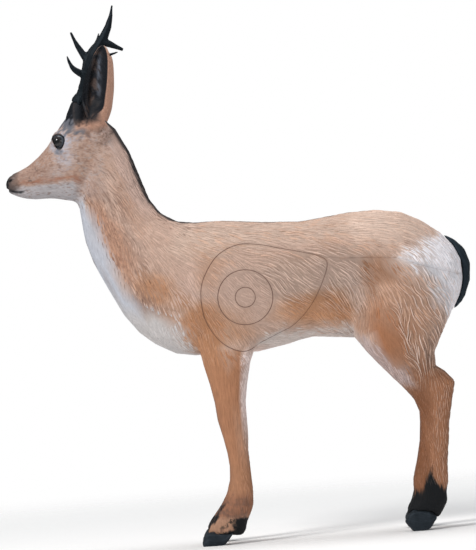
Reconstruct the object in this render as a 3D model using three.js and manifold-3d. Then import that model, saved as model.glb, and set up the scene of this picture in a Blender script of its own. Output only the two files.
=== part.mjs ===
// A life-size roebuck as an archery target: a moulded foam body that stands on four cloven feet,
// with rubber antlers set on its crown. Millimetres, +Z up, nose towards -X, the animal's left side
// towards -Y. The origin is on the floor, under the middle of the model's length.

import * as THREE from "three";
import { mergeVertices } from "three/addons/utils/BufferGeometryUtils.js";
import Module from "manifold-3d";

const wasm = await Module();
wasm.setup();

// ---------------------------------------------------------------------------------------------
// Driving dimensions. Lengths along X are counted from a point above the front soles.

const GAP = 0.3; // clearance between neighbouring pieces
const WITHERS = 653; // height of the back above the forelegs
const LOIN = 638; // lowest point of the back
const CROUP = 650; // highest point of the hindquarters
const BRISKET = 380; // lowest point of the chest
const FLANK = 402; // highest point of the belly line
const CHEST_HALF = 98; // half the width across the ribs
const LOIN_HALF = 84; // half the width ahead of the hips
const HIP_HALF = 92; // half the width across the hips
const FORE_STANCE = 60; // from the middle of the body to a front foot
const HIND_STANCE = 66; // from the middle of the body to a hind foot
const HIND_STAGGER = 2.5; // of the left hind foot forwards and of the right one backwards
const EYE_RADIUS = 14.5;
const EYE_CENTRE = [-252, 32, 833];
const EAR_LENGTH = 184;
const EAR_WALL = 6;

const foamTan = new THREE.MeshStandardMaterial({ color: 0xb48d74, roughness: 0.8, metalness: 0 });
const blackPaint = new THREE.MeshStandardMaterial({ color: 0x17191b, roughness: 0.6, metalness: 0 });
const blackRubber = new THREE.MeshStandardMaterial({ color: 0x121416, roughness: 0.5, metalness: 0 });
const eyeGloss = new THREE.MeshStandardMaterial({ color: 0x0a0a0c, roughness: 0.1, metalness: 0 });

// ---------------------------------------------------------------------------------------------
// Solids from rings of points.

// A closed geometry through rings of equally many points, with a flat fan over each end.
function skinOver(rings) {
  const sides = rings[0].length;
  const points = rings.flat();
  const faces = [];
  for (let i = 0; i + 1 < rings.length; i++) {
    for (let j = 0; j < sides; j++) {
      const a = i * sides + j;
      const b = i * sides + ((j + 1) % sides);
      faces.push(a, b, b + sides, a, b + sides, a + sides);
    }
  }
  for (const [ring, first] of [[rings[0], 0], [rings.at(-1), (rings.length - 1) * sides]]) {
    const middle = ring.reduce((sum, p) => sum.add(p), new THREE.Vector3()).divideScalar(sides);
    points.push(middle);
    for (let j = 0; j < sides; j++) {
      const edge = [first + j, first + ((j + 1) % sides)];
      faces.push(points.length - 1, ...(first ? edge : edge.reverse()));
    }
  }
  const geometry = new THREE.BufferGeometry().setFromPoints(points);
  geometry.setIndex(facingOut(points, faces));
  return geometry;
}

// The faces with their points in the order that makes the enclosed volume positive.
function facingOut(points, faces) {
  let volume = 0;
  for (let i = 0; i < faces.length; i += 3) {
    const [a, b, c] = [faces[i], faces[i + 1], faces[i + 2]].map((k) => points[k]);
    volume += a.dot(new THREE.Vector3().crossVectors(b, c));
  }
  return volume < 0 ? faces.reverse() : faces;
}

// A geometry as a manifold solid.
function solid(geometry) {
  const bare = geometry.clone();
  bare.deleteAttribute("normal");
  bare.deleteAttribute("uv");
  const merged = mergeVertices(bare, 1e-3);
  return new wasm.Manifold(new wasm.Mesh({
    numProp: 3,
    vertProperties: merged.attributes.position.array,
    triVerts: new Uint32Array(merged.index.array),
  }));
}

// A manifold solid as a named three.js mesh.
function named(name, made, material) {
  const { vertProperties, triVerts } = made.getMesh();
  const geometry = new THREE.BufferGeometry();
  geometry.setAttribute("position", new THREE.BufferAttribute(vertProperties, 3));
  geometry.setIndex(new THREE.BufferAttribute(triVerts, 1));
  geometry.computeVertexNormals();
  const mesh = new THREE.Mesh(geometry, material);
  mesh.name = name;
  return mesh;
}

// One rib of a body: the under and over points of its outline in the side view, half its width,
// how far above the middle it is widest (-0.5 to 0.5 of its half height), and its squareness.
function rib(under, over, half, widest = 0, squareness = 2) {
  return { under, over, half, widest, squareness };
}

// The ring of points of a rib, on the left (-1) or right (1) side of the animal or in its middle.
function ringOf(r, { sides, side, grow }) {
  const middle = new THREE.Vector3((r.under[0] + r.over[0]) / 2, side * (r.stance ?? 0),
    (r.under[1] + r.over[1]) / 2);
  const rise = new THREE.Vector3(r.over[0] - r.under[0], 0, r.over[1] - r.under[1]);
  const reach = rise.length() / 2 + grow;
  rise.normalize();
  const bent = (v) => Math.sign(v) * Math.abs(v) ** (2 / r.squareness);
  return Array.from({ length: sides }, (_, j) => {
    const angle = (j / sides) * 2 * Math.PI;
    const up = bent(Math.cos(angle));
    const out = new THREE.Vector3(0, bent(Math.sin(angle)) * (r.half + grow), 0);
    return middle.clone().addScaledVector(rise, (up + r.widest * (1 - up * up)) * reach).add(out);
  });
}

// A body lofted over its ribs.
function body(ribs, { sides, side = 1, grow = 0 }) {
  return solid(skinOver(ribs.map((r) => ringOf(r, { sides, side, grow }))));
}

// A round tapering rod along a smooth curve through stations of [x, y, z, radius].
function rod(stations, { rings, sides, side, grow = 0 }) {
  const line = new THREE.CatmullRomCurve3(
    stations.map(([x, y, z]) => new THREE.Vector3(x, side * y, z)));
  const size = new THREE.CatmullRomCurve3(stations.map((s, i) => new THREE.Vector3(i, s[3], 0)));
  const across = new THREE.Vector3(0, 1, 0);
  return solid(skinOver(Array.from({ length: rings }, (_, i) => {
    const t = i / (rings - 1);
    const centre = line.getPoint(t);
    const along = line.getTangent(t);
    const u = new THREE.Vector3().crossVectors(across, along).normalize();
    const v = new THREE.Vector3().crossVectors(along, u);
    const radius = size.getPoint(t).y + grow;
    return Array.from({ length: sides }, (_, j) => {
      const angle = (j / sides) * 2 * Math.PI;
      return centre.clone()
        .addScaledVector(u, radius * Math.cos(angle))
        .addScaledVector(v, radius * Math.sin(angle));
    });
  })));
}

// An ellipsoid of the given half sizes, on the left (-1) or the right (1) side of the animal.
function ball([x, y, z], half, side) {
  return solid(new THREE.SphereGeometry(1, 12, 8).scale(...half).translate(x, side * y, z));
}

// A box between two corners.
function block([x0, y0, z0], [x1, y1, z1]) {
  const box = new THREE.BoxGeometry(x1 - x0, y1 - y0, z1 - z0);
  return solid(box.translate((x0 + x1) / 2, (y0 + y1) / 2, (z0 + z1) / 2));
}

// Everything on the left of a line in the side view that runs up from a low to a high point,
// as a block that reaches far enough to hold any part of the animal.
function leftOf([x0, z0], [x1, z1], back = 0) {
  const reach = 2000;
  const box = new THREE.BoxGeometry(reach, reach, reach).translate(-reach / 2 - back, 0, 0);
  box.rotateY(Math.atan2(x1 - x0, z1 - z0));
  return solid(box.translate(x0, 0, z0));
}

const joined = (pieces) => pieces.reduce((sum, piece) => sum.add(piece));

// ---------------------------------------------------------------------------------------------
// Torso, neck and head: ribs through the middle of the body.

const torsoRibs = [
  rib([-100, 432], [-88, 560], 44), // inside the neck's root
  rib([-80, 402], [-62, 628], 72, 0.03),
  rib([-44, 386], [-32, 650], 84, 0.02),
  rib([-6, BRISKET], [0, WITHERS], 89, -0.04, 2.1), // withers
  rib([60, BRISKET], [58, WITHERS - 1], 93, -0.08, 2.1),
  rib([124, BRISKET], [118, 645], CHEST_HALF, -0.08, 2.1),
  rib([176, 390], [172, LOIN + 2], CHEST_HALF + 2, -0.08, 2.1), // last of the ribs
  rib([226, FLANK], [222, LOIN], 96, -0.04),
  rib([274, 397], [274, 644], 88, 0),
  rib([322, 392], [322, CROUP - 1], LOIN_HALF, 0.08),
  rib([366, 394], [372, CROUP], 88, 0.1), // croup
  rib([408, 400], [424, 642], HIP_HALF - 2, 0.08),
  rib([450, 404], [466, 620], 84, 0.04),
  rib([486, 412], [500, 594], 70, 0),
  rib([514, 434], [525, 568], 50, 0),
  rib([534, 470], [539, 538], 28, 0),
  rib([541, 498], [541, 510], 8, 0), // under the tail
];

const neckRibs = [
  rib([-80, 401], [76, 590], 76, 0), // inside the shoulders
  rib([-113, 425], [40, 622], 80, 0),
  rib([-146, 464], [4, 648], 78, 0),
  rib([-176, 522], [-34, 660], 71, 0),
  rib([-200, 572], [-64, 682], 62, 0),
  rib([-216, 618], [-85, 724], 55, 0),
  rib([-223, 660], [-98, 768], 51, 0),
  rib([-225, 698], [-112, 808], 49, 0),
  rib([-220, 738], [-136, 850], 46, 0),
  rib([-208, 790], [-164, 876], 37, 0), // inside the head
];

const headRibs = [
  rib([-366, 750], [-366.5, 757], 8, 0, 2.4), // nose
  rib([-361, 739], [-361, 768], 16, 0, 2.4),
  rib([-347, 730], [-350, 776], 19, 0, 2.4),
  rib([-332, 724], [-336, 781], 21, 0, 2.3), // corner of the mouth
  rib([-311, 720], [-318, 790], 23, 0, 2.2),
  rib([-290, 720], [-297, 806], 28, 0.06, 2.1),
  rib([-268, 718], [-278, 825], 36, 0.18),
  rib([-248, 713], [-264, 844], 44, 0.28, 2.1), // brow
  rib([-230, 708], [-250, 863], 49, 0.28, 2.1),
  rib([-210, 708], [-236, 880], 52, 0.22), // angle of the jaw
  rib([-188, 722], [-216, 894], 50, 0.2),
  rib([-166, 746], [-192, 898], 47, 0.15),
  rib([-150, 776], [-170, 886], 42, 0.1),
  rib([-142, 806], [-150, 862], 30, 0),
];

// The round brow and cheekbone about each eye: its centre and its half sizes.
const orbit = { centre: [-247, 25, 834], half: [21, 19, 21] };
// The stalk under each burr, hidden in the tuft of the crown: [x, y, z, radius].
const pedicle = [[-214, 22, 864, 27], [-212, 24, 882, 23], [-208, 27, 899, 18.5], [-206, 28, 910, 15]];

// ---------------------------------------------------------------------------------------------
// Legs: ribs from the front to the back of each leg, on both sides of the body.

const foreLegRibs = [
  rib([10, 545], [104, 545], 16),
  rib([0, 500], [114, 500], 28),
  rib([-6, 450], [122, 448], 34),
  rib([-6, 400], [119, 402], 35), // elbow
  rib([2, 361], [101, 363], 31),
  rib([13, 322], [91, 322], 28),
  rib([20, 284], [85, 286], 25),
  rib([23, 248], [85, 252], 24),
  rib([31, 216], [85, 218], 22),
  rib([37, 186], [83, 188], 19.5), // knee
  rib([40, 154], [84, 156], 18),
  rib([38, 124], [85, 126], 18.5),
  rib([31, 98], [86, 101], 20.5),
  rib([19, 77], [84, 76], 22.5), // fetlock
  rib([6, 60], [76, 56], 22.5),
  rib([-5, 47], [69, 42], 21.5),
  rib([-12, 36], [66, 27], 20),
  rib([-14, 25], [57, 17], 17),
];

const hindLegRibs = [
  rib([372, 600], [466, 590], 20),
  rib([342, 545], [508, 545], 32),
  rib([322, 470], [520, 478], 38),
  rib([307, 398], [515, 432], 43), // stifle
  rib([333, 364], [490, 392], 41),
  rib([361, 333], [471, 352], 34),
  rib([385, 305], [473, 325], 28),
  rib([406, 283], [491, 314], 25),
  rib([421, 263], [509, 293], 23.5), // hock
  rib([430, 240], [502, 262], 21.5),
  rib([430, 212], [492, 216], 19.5),
  rib([427, 180], [488, 180], 18.5),
  rib([421, 150], [484, 150], 18.5),
  rib([414, 122], [481, 122], 20),
  rib([408, 98], [480, 96], 22),
  rib([408, 78], [475, 74], 22.5), // fetlock
  rib([402, 58], [476, 56], 22),
  rib([393, 42], [467, 40], 20),
  rib([392, 28], [456, 24], 16),
];
// How far each rib stands out from the spine: the shoulders and the thighs lean in.
const foreLean = [14, 11, 8, 5, 2];
const hindLean = [26, 22, 15, 9, 4, 1];
foreLegRibs.forEach((r, i) => (r.stance = FORE_STANCE - (foreLean[i] ?? 0)));
hindLegRibs.forEach((r, i) => (r.stance = HIND_STANCE - (hindLean[i] ?? 0)));

// One claw of a cloven foot, from toe to heel. The sole is cut flat on the floor afterwards.
const foreClawRibs = [
  rib([-24, 4], [-24, 8], 2.5),
  rib([-21, -4], [-20, 18], 7),
  rib([-12, -6], [-14, 27], 9.5),
  rib([4, -6], [0, 28], 10.5),
  rib([20, -5], [16, 24], 10.5),
  rib([31, 6], [30, 18], 7),
];
const hindClawRibs = [
  rib([387, 18], [387, 26], 3),
  rib([393, 6], [391, 36], 8),
  rib([405, -5], [401, 43], 10.5),
  rib([421, -6], [418, 44], 11),
  rib([436, -5], [436, 40], 11),
  rib([449, 12], [452, 28], 7),
];

const CLAW_SPREAD = 11.5; // from the middle of the foot to the middle of a claw

// The right hind leg stands a little behind the left one.
const staggered = (made, side) => made.translate([side * HIND_STAGGER, 0, 0]);

function legs(grow = 0) {
  return [-1, 1].flatMap((side) => [
    body(foreLegRibs, { sides: 12, side, grow }),
    staggered(body(hindLegRibs, { sides: 12, side, grow }), side),
  ]);
}

// ---------------------------------------------------------------------------------------------
// Tail: a short dark keel down the middle of the rump.

const tailRibs = [
  rib([500, 580], [508, 588], 3),
  rib([506, 562], [526, 578], 10),
  rib([518, 540], [546, 556], 14),
  rib([524, 514], [555, 526], 16),
  rib([522, 490], [552, 494], 15),
  rib([516, 470], [542, 466], 12),
  rib([508, 456], [531, 449], 8),
  rib([503, 448], [518, 438], 3),
];

// ---------------------------------------------------------------------------------------------
// Ears: upright cups that open outwards and a little forwards.

// The ear's half width at s from 0 at its root, inside the head, to 1 at its tip.
const earHalfWidth = (s) => 33 * Math.sin(Math.PI * Math.min(1, 0.2 + 0.8 * s ** 1.12)) ** 0.6;

function ear(side) {
  const rings = 10;
  const arc = 6;
  const opening = 0.58 * Math.PI; // from the back of the cup to each rim
  const root = new THREE.Vector3(-182, side * 46, 842);
  const axis = new THREE.Vector3(0.15, side * 0.42, 1).normalize();
  const facing = new THREE.Vector3(-0.45, side * 0.89, 0);
  facing.addScaledVector(axis, -facing.dot(axis)).normalize();
  const across = new THREE.Vector3().crossVectors(axis, facing);
  return solid(skinOver(Array.from({ length: rings }, (_, i) => {
    const s = i / (rings - 1);
    const half = Math.max(3.5, earHalfWidth(s));
    const wall = Math.min(EAR_WALL * (1.25 - 0.35 * s), half * 0.6);
    const hollow = 0.72 * half;
    const centre = root.clone().addScaledVector(axis, EAR_LENGTH * s);
    const at = (angle, width, depth) => centre.clone()
      .addScaledVector(across, width * Math.sin(angle))
      .addScaledVector(facing, -depth * Math.cos(angle));
    const turn = (k) => -opening + (2 * opening * k) / (arc - 1);
    const outside = Array.from({ length: arc }, (_, k) => at(turn(k), half, hollow));
    const inside = Array.from({ length: arc }, (_, k) =>
      at(turn(arc - 1 - k), half - wall, hollow - wall));
    return [...outside, ...inside];
  })));
}

// ---------------------------------------------------------------------------------------------
// Antlers: a beam on a burr, with a front tine and a rear tine, each one branch.

// Stations are [x, y, z, radius], with y counted outwards from the middle of the crown.
const burr = [
  [-205, 27, 890, 15], [-206, 28, 903, 16], [-204, 29, 912, 16], [-197, 30, 922, 12.5],
  [-193, 33, 938, 11.5],
];
const antlerLeft = {
  beam: [
    ...burr, [-185, 39, 966, 11], [-170, 46, 1000, 11.5], [-149, 50, 1030, 10],
    [-133, 50, 1062, 6.5], [-125, 46, 1098, 2.2],
  ],
  front: [[-190, 38, 962, 9], [-206, 41, 971, 6.5], [-217, 42, 984, 5], [-223, 42, 1003, 2]],
  rear: [[-148, 50, 1026, 9], [-130, 53, 1017, 7], [-109, 55, 1006, 3.8]],
};
const antlerRight = {
  beam: [
    ...burr, [-188, 38, 966, 11], [-184, 42, 996, 10], [-172, 44, 1018, 7],
    [-164, 44, 1030, 4.5], [-158, 43, 1049, 1.8],
  ],
  front: [[-186, 42, 996, 8.5], [-196, 45, 1013, 7], [-207, 46, 1034, 5], [-215, 45, 1055, 3]],
  rear: [[-174, 44, 1008, 6.5], [-150, 47, 1002, 5], [-122, 49, 1008, 2]],
};

function antlerPieces(antler, side, flesh) {
  const beam = rod(antler.beam, { rings: 16, sides: 8, side });
  const beamGrown = rod(antler.beam, { rings: 16, sides: 8, side, grow: GAP });
  const tine = (stations) => rod(stations, { rings: 6, sides: 7, side }).subtract(beamGrown);
  return {
    beam: beam.subtract(flesh),
    front: tine(antler.front),
    rear: tine(antler.rear),
  };
}

// ---------------------------------------------------------------------------------------------
// Putting the animal together: one flesh, parted with thin cuts.

function torso(grow = 0) {
  return body(torsoRibs, { sides: 24, grow });
}
function neckAndHead(grow = 0) {
  return [
    body(neckRibs, { sides: 20, grow }),
    body(headRibs, { sides: 20, grow }),
    ...[-1, 1].flatMap((side) => [
      rod(pedicle, { rings: 4, sides: 9, side, grow }),
      ball(orbit.centre, orbit.half.map((half) => half + grow), side),
    ]),
  ];
}

// A cut can leave a loose sliver beside the piece that is meant.
const largest = (made) => made.decompose().sort((a, b) => b.volume() - a.volume())[0];

const group = new THREE.Group();
const add = (name, made, material) => group.add(named(name, made, material));

const fleshGrown = joined([torso(GAP), ...neckAndHead(GAP), ...legs(GAP)]);
const floorBlock = block([-200, -400, -100], [700, 400, 0]);

// One claw, set to the inside (-1) or the outside (1) of the middle of its foot.
function claw(ribs, stance, side, half, grow) {
  const set = ribs.map((r) => ({ ...r, stance: stance + half * CLAW_SPREAD }));
  return body(set, { sides: 8, side, grow });
}
const claws = [-1, 1].flatMap((side) => [-1, 1].flatMap((half) => {
  const place = `${side < 0 ? "left" : "right"}_${half < 0 ? "inner" : "outer"}`;
  const fore = (grow) => claw(foreClawRibs, FORE_STANCE, side, half, grow);
  const hind = (grow) => staggered(claw(hindClawRibs, HIND_STANCE, side, half, grow), side);
  return [
    { name: `hoof_fore_${place}`, make: (grow) => fore(grow).subtract(floorBlock) },
    { name: `hoof_hind_${place}`, make: (grow) => hind(grow).subtract(floorBlock) },
  ];
}));
const eyes = [-1, 1].map((side) => ({
  name: side < 0 ? "eye_left" : "eye_right",
  make: (grow) => ball(EYE_CENTRE, Array(3).fill(EYE_RADIUS + grow), side),
}));

// The whole flesh, with sockets for the eyes and beds for the claws.
let flesh = joined([torso(), ...neckAndHead(), ...legs()]);
for (const fitted of [...eyes, ...claws]) flesh = flesh.subtract(fitted.make(GAP));
flesh = flesh.subtract(floorBlock);

// Where the neck is parted from the trunk and the head from the neck.
const neckRoot = [[-146, 462], [-34, 664]];
const headRoot = [[-226, 704], [-140, 866]];
const neckSide = (back) => leftOf(...neckRoot, back);
const headSide = (back) => leftOf(...headRoot, back);
const aboveLegs = block([-600, -400, BRISKET], [0, 400, 1400]);

// The space of one leg: all that hangs below its top, and the round of the thigh on a hind leg.
const LEG_TOP = BRISKET - 8;
const thigh = { centre: [418, 462], half: [102, 128], inner: 30 };
function legSpace(side, hind, grow) {
  const near = (hind ? thigh.inner : GAP) - grow;
  const far = 300;
  const [y0, y1] = side > 0 ? [near, far] : [-far, -near];
  if (!hind) return block([-60, y0, -50], [150, y1, LEG_TOP + grow]);
  const round = new THREE.CylinderGeometry(1, 1, y1 - y0, 24)
    .scale(thigh.half[0] + grow, 1, thigh.half[1] + grow)
    .translate(thigh.centre[0], (y0 + y1) / 2, thigh.centre[1]);
  return solid(round).add(block([250, y0, -50], [560, y1, LEG_TOP + grow]));
}

let rest = flesh;
for (const side of [-1, 1]) {
  for (const hind of [false, true]) {
    const name = `${hind ? "hind" : "fore"}leg_${side < 0 ? "left" : "right"}`;
    add(name, largest(flesh.intersect(legSpace(side, hind, 0))), foamTan);
    rest = rest.subtract(legSpace(side, hind, GAP));
  }
}
const frontSpace = neckSide(0).intersect(aboveLegs);
const front = flesh.intersect(neckSide(GAP).intersect(aboveLegs));
add("trunk", largest(rest.subtract(frontSpace)), foamTan);
add("neck", largest(front.subtract(headSide(0))), foamTan);
add("head", largest(front.intersect(headSide(GAP))), foamTan);

add("tail", largest(body(tailRibs, { sides: 10 }).subtract(fleshGrown)), blackPaint);
for (const side of [-1, 1]) {
  const flank = side < 0 ? "left" : "right";
  const antler = antlerPieces(side < 0 ? antlerLeft : antlerRight, side, fleshGrown);
  add(`ear_${flank}`, largest(ear(side).subtract(fleshGrown)), foamTan);
  add(`antler_${flank}_beam`, largest(antler.beam), blackRubber);
  add(`antler_${flank}_front_tine`, largest(antler.front), blackRubber);
  add(`antler_${flank}_rear_tine`, largest(antler.rear), blackRubber);
}
for (const eye of eyes) add(eye.name, eye.make(0), eyeGloss);
for (const claw of claws) add(claw.name, claw.make(0), blackPaint);

// The origin is on the floor under the middle of the box that holds the animal.
const extent = new THREE.Box3().setFromObject(group);
group.position.set(-(extent.min.x + extent.max.x) / 2, 0, -extent.min.z);

export default group;
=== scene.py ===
import math
import bpy
import bmesh
import numpy as np
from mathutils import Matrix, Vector
from mathutils.bvhtree import BVHTree
from mathutils.kdtree import KDTree


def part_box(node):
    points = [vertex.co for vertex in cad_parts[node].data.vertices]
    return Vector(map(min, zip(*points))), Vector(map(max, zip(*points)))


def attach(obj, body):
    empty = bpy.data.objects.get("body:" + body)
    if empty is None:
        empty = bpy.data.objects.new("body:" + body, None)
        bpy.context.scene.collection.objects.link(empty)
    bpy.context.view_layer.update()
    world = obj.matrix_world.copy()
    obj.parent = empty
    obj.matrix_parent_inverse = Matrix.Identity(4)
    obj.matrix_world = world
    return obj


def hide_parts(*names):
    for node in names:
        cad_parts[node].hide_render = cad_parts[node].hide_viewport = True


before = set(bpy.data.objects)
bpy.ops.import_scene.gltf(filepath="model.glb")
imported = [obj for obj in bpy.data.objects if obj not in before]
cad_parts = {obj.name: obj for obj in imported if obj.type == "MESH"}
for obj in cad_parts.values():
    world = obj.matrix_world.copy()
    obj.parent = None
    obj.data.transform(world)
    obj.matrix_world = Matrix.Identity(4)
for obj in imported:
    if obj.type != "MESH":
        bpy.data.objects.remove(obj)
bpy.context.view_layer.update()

TOE_REACH = 0.0238
plumb_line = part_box("hoof_fore_left_outer")[0].x + TOE_REACH


def on_the_deer(points):
    """Points in metres, as millimetres from the plumb line, the middle and the ground."""
    return (np.asarray(points) - [plumb_line, 0, 0]) * 1000


def in_the_frame(points):
    """Millimetres on the deer, as points in metres in the frame."""
    return np.asarray(points, dtype=float) / 1000 + [plumb_line, 0, 0]


# ---- The foam skin: trunk, neck, head, legs and ears in one casting ----
# Self-healing polyurethane foam, poured in one mould, so no joint shows between head, neck and body. The
# solids are fused, their facets are eased away, and the surface is drawn in by the depth of the coat.
FLESH = ["trunk", "neck", "head", "foreleg_left", "foreleg_right", "hindleg_left", "hindleg_right"]
EARS = ["ear_left", "ear_right"]
FUSE_GROWTH = 0.00035
CASTING_GRAIN = 0.0026
COAT_DEPTH = 1.5
BODY_EASING = 110
WITHERS_EASING = 420
EAR_MOUND = (-176, 40, 848)
EAR_MOUND_RADIUS = 30
EAR_MOUND_STRETCH = (0.86, 0.58, 1.0)
EYE_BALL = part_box("eye_left")
EYE_CENTRE = on_the_deer((EYE_BALL[0] + EYE_BALL[1]) / 2) * [1, -1, 1]
EYE_RADIUS = (EYE_BALL[1].x - EYE_BALL[0].x) * 500
LID_THICKNESS = 1.9
SOCKET_GAP = 0.25


def mesh_arrays(mesh):
    """The vertices and the edges of a mesh as arrays."""
    places = np.empty(len(mesh.vertices) * 3)
    mesh.vertices.foreach_get("co", places)
    edges = np.empty(len(mesh.edges) * 2, dtype=np.int64)
    mesh.edges.foreach_get("vertices", edges)
    return places.reshape(-1, 3), edges.reshape(-1, 2)


def vertex_normals(mesh):
    normals = np.empty(len(mesh.vertices) * 3)
    mesh.vertices.foreach_get("normal", normals)
    return normals.reshape(-1, 3)


def moved(mesh, places):
    """Puts a mesh's vertices at those places."""
    mesh.vertices.foreach_set("co", places.ravel())
    mesh.update()


def as_mesh(name, shape):
    """Turns a bmesh into a mesh, and frees it."""
    mesh = bpy.data.meshes.new(name)
    shape.to_mesh(mesh)
    shape.free()
    return mesh


def ramp(value, start, end):
    """0 before start, 1 after end, and smooth between them."""
    t = np.clip((value - start) / (end - start), 0, 1)
    return t * t * (3 - 2 * t)


def eased(places, edges, easing, rounds):
    """Smooths places along edges. What the smoothing took from the large shape is put back."""
    first, second = edges[:, 0], edges[:, 1]
    count = np.bincount(edges.ravel(), minlength=len(places))

    def diffused(values):
        for turn in range(rounds):
            mean = np.empty_like(values)
            for axis in range(3):
                column = values[:, axis]
                mean[:, axis] = (np.bincount(first, column[second], len(values))
                                 + np.bincount(second, column[first], len(values))) / count
            values = values + (mean - values) * easing[:, None]
        return values

    smooth = diffused(places)
    return smooth + diffused(places - smooth)


def fused_copy(names, growth):
    """One mesh from copies of those solids, each merged and grown a little so that they meet."""
    pieces = []
    for name in names:
        piece = bmesh.new()
        piece.from_mesh(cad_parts[name].data)
        bmesh.ops.remove_doubles(piece, verts=piece.verts, dist=0.00001)
        piece.normal_update()
        for vertex, shift in [(vertex, vertex.normal * growth) for vertex in piece.verts]:
            vertex.co += shift
        pieces.append(as_mesh("loose", piece))
    return joined_meshes("fused", pieces)


def with_modifiers(obj):
    """The plain mesh that the object's modifiers make. The modifiers are then removed."""
    bpy.context.view_layer.update()
    seen = obj.evaluated_get(bpy.context.evaluated_depsgraph_get())
    mesh = bpy.data.meshes.new_from_object(seen)
    obj.modifiers.clear()
    obj.data = mesh
    return mesh


def recast(obj, grain):
    """The mesh of the object made again as one closed skin of small, even faces."""
    remesh = obj.modifiers.new("casting", "REMESH")
    remesh.mode = "VOXEL"
    remesh.voxel_size = grain
    return with_modifiers(obj)


def new_piece(name, data):
    """A new object in the scene."""
    obj = bpy.data.objects.new(name, data)
    bpy.context.scene.collection.objects.link(obj)
    return obj


def ball_mesh(centre, radius, fineness, stretch=(1, 1, 1)):
    """A round ball as a mesh in the frame, from millimetres on the deer."""
    ball = bmesh.new()
    bmesh.ops.create_icosphere(ball, subdivisions=fineness, radius=radius / 1000)
    middle = in_the_frame(centre)
    for vertex in ball.verts:
        vertex.co = Vector([vertex.co[k] * stretch[k] + middle[k] for k in range(3)])
    return as_mesh("ball", ball)


def joined_meshes(name, meshes):
    """One mesh out of several, which are used up."""
    whole = bmesh.new()
    for mesh in meshes:
        whole.from_mesh(mesh)
        bpy.data.meshes.remove(mesh)
    return as_mesh(name, whole)


def both_sides(place):
    """The same place on the left and on the right of the deer."""
    return [(place[0], side * place[1], place[2]) for side in (-1, 1)]


lid_balls = [ball_mesh(centre, EYE_RADIUS + LID_THICKNESS, 5) for centre in both_sides(EYE_CENTRE)]
ear_mounds = [ball_mesh(centre, EAR_MOUND_RADIUS, 4, EAR_MOUND_STRETCH) for centre in both_sides(EAR_MOUND)]
fused = joined_meshes("fused", [fused_copy(FLESH, FUSE_GROWTH)] + lid_balls + ear_mounds)
skin = new_piece("foam_skin", fused)
casting = recast(skin, CASTING_GRAIN)
places, edges = mesh_arrays(casting)
spot = on_the_deer(places)
x, y, z = spot.T
on_head = ramp(-x, 118, 150) * ramp(z, 690, 740)
on_leg = ramp(-z, -400, -330)
easing = 0.5 * (1 - on_head) * (1 - 0.8 * on_leg) + 0.07 * on_head
at_eye = ramp(26 - np.linalg.norm(spot * [1, 0, 1] + [0, 1, 0] * np.abs(spot) - EYE_CENTRE, axis=1), 0, 6)
easing *= 1 - 0.9 * at_eye
places = eased(places, edges, easing, BODY_EASING)
at_withers = ramp(-x, -70, -20) * np.maximum(ramp(z, 585, 625), ramp(-x, -10, 40) * ramp(z, 385, 410))
at_withers *= 1 - ramp(-x, 90, 145) * ramp(z, 650, 725)
bend = np.nonzero(at_withers > 0)[0]
renumbered = np.full(len(places), -1)
renumbered[bend] = np.arange(len(bend))
bend_edges = renumbered[edges]
bend_edges = bend_edges[(bend_edges >= 0).all(axis=1)]
places[bend] = eased(places[bend], bend_edges, 0.5 * at_withers[bend], WITHERS_EASING)
moved(casting, places)
casting.shade_smooth()

# Drawn in by the depth of the coat, least where the hair is painted on rather than moulded.
smooth_parts = np.maximum(on_head, ramp(-z, -150, -90))
depth = COAT_DEPTH * (1 - 0.75 * smooth_parts) * (1 - at_eye)
places = places - vertex_normals(casting) * depth[:, None] / 1000
moved(casting, places)

# ---- The modelled face ----
# The head is carved finer than the body: a nose pad with two nostrils, the slit of the mouth, the edge of the
# jaw, and lids that stand round each glass eye. The ears are cast hollow, as deep cups with a rolled rim.
LID_OUTLINE = ((-264.5, 842), (-254, 847), (-242, 843), (-239.5, 833), (-245, 820), (-252, 815), (-260, 823))
LID_CORNER = (-265, 35, 841)
MOUTH = ((-364, 744), (-352, 739.5), (-338, 737), (-326, 738.5), (-316, 741))
JAW_LINE = ((-340, 753), (-310, 753), (-275, 752), (-240, 753), (-222, 756))
NOSTRIL = (-356.5, 762)
PAD_EDGE = ((-362, 776), (-352, 772), (-347, 762), (-349, 752), (-354, 745))
TEAR_DUCT = ((-262, 822), (-272, 812), (-280, 800))
SKIN_THINNING = 0.34


def drawn_line(stations, closed, step):
    """A smooth line through the stations, in steps of that length."""
    marks = np.array(stations, dtype=float)
    if closed:
        marks = np.vstack([marks[-1:], marks, marks[:2]])
    else:
        marks = np.vstack([2 * marks[:1] - marks[1:2], marks, 2 * marks[-1:] - marks[-2:-1]])
    t = np.linspace(0, 1, 24, endpoint=False)[:, None]
    pieces = []
    for a, b, c, d in zip(marks[:-3], marks[1:-2], marks[2:-1], marks[3:]):
        pieces.append(0.5 * (2 * b + (c - a) * t + (2 * a - 5 * b + 4 * c - d) * t**2
                             + (3 * b - a - 3 * c + d) * t**3))
    line = np.vstack(pieces + [marks[-2:-1]])
    run = np.concatenate([[0], np.cumsum(np.linalg.norm(np.diff(line, axis=0), axis=1))])
    count = max(8, int(run[-1] / step))
    even = np.linspace(0, run[-1], count, endpoint=not closed)
    return np.column_stack([np.interp(even, run, line[:, axis]) for axis in range(2)])


def from_line(x, z, stations):
    """The distance on the side view from each place to a drawn line."""
    line = drawn_line(stations, False, 1.5)
    nearest = np.full(len(x), 1e9)
    for line_x, line_z in line:
        nearest = np.minimum(nearest, (x - line_x) ** 2 + (z - line_z) ** 2)
    return np.sqrt(nearest)


def bell(distance, width):
    """1 where the distance is nothing, fading on both sides over about that width."""
    return np.exp(-((distance / width) ** 2))


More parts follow.
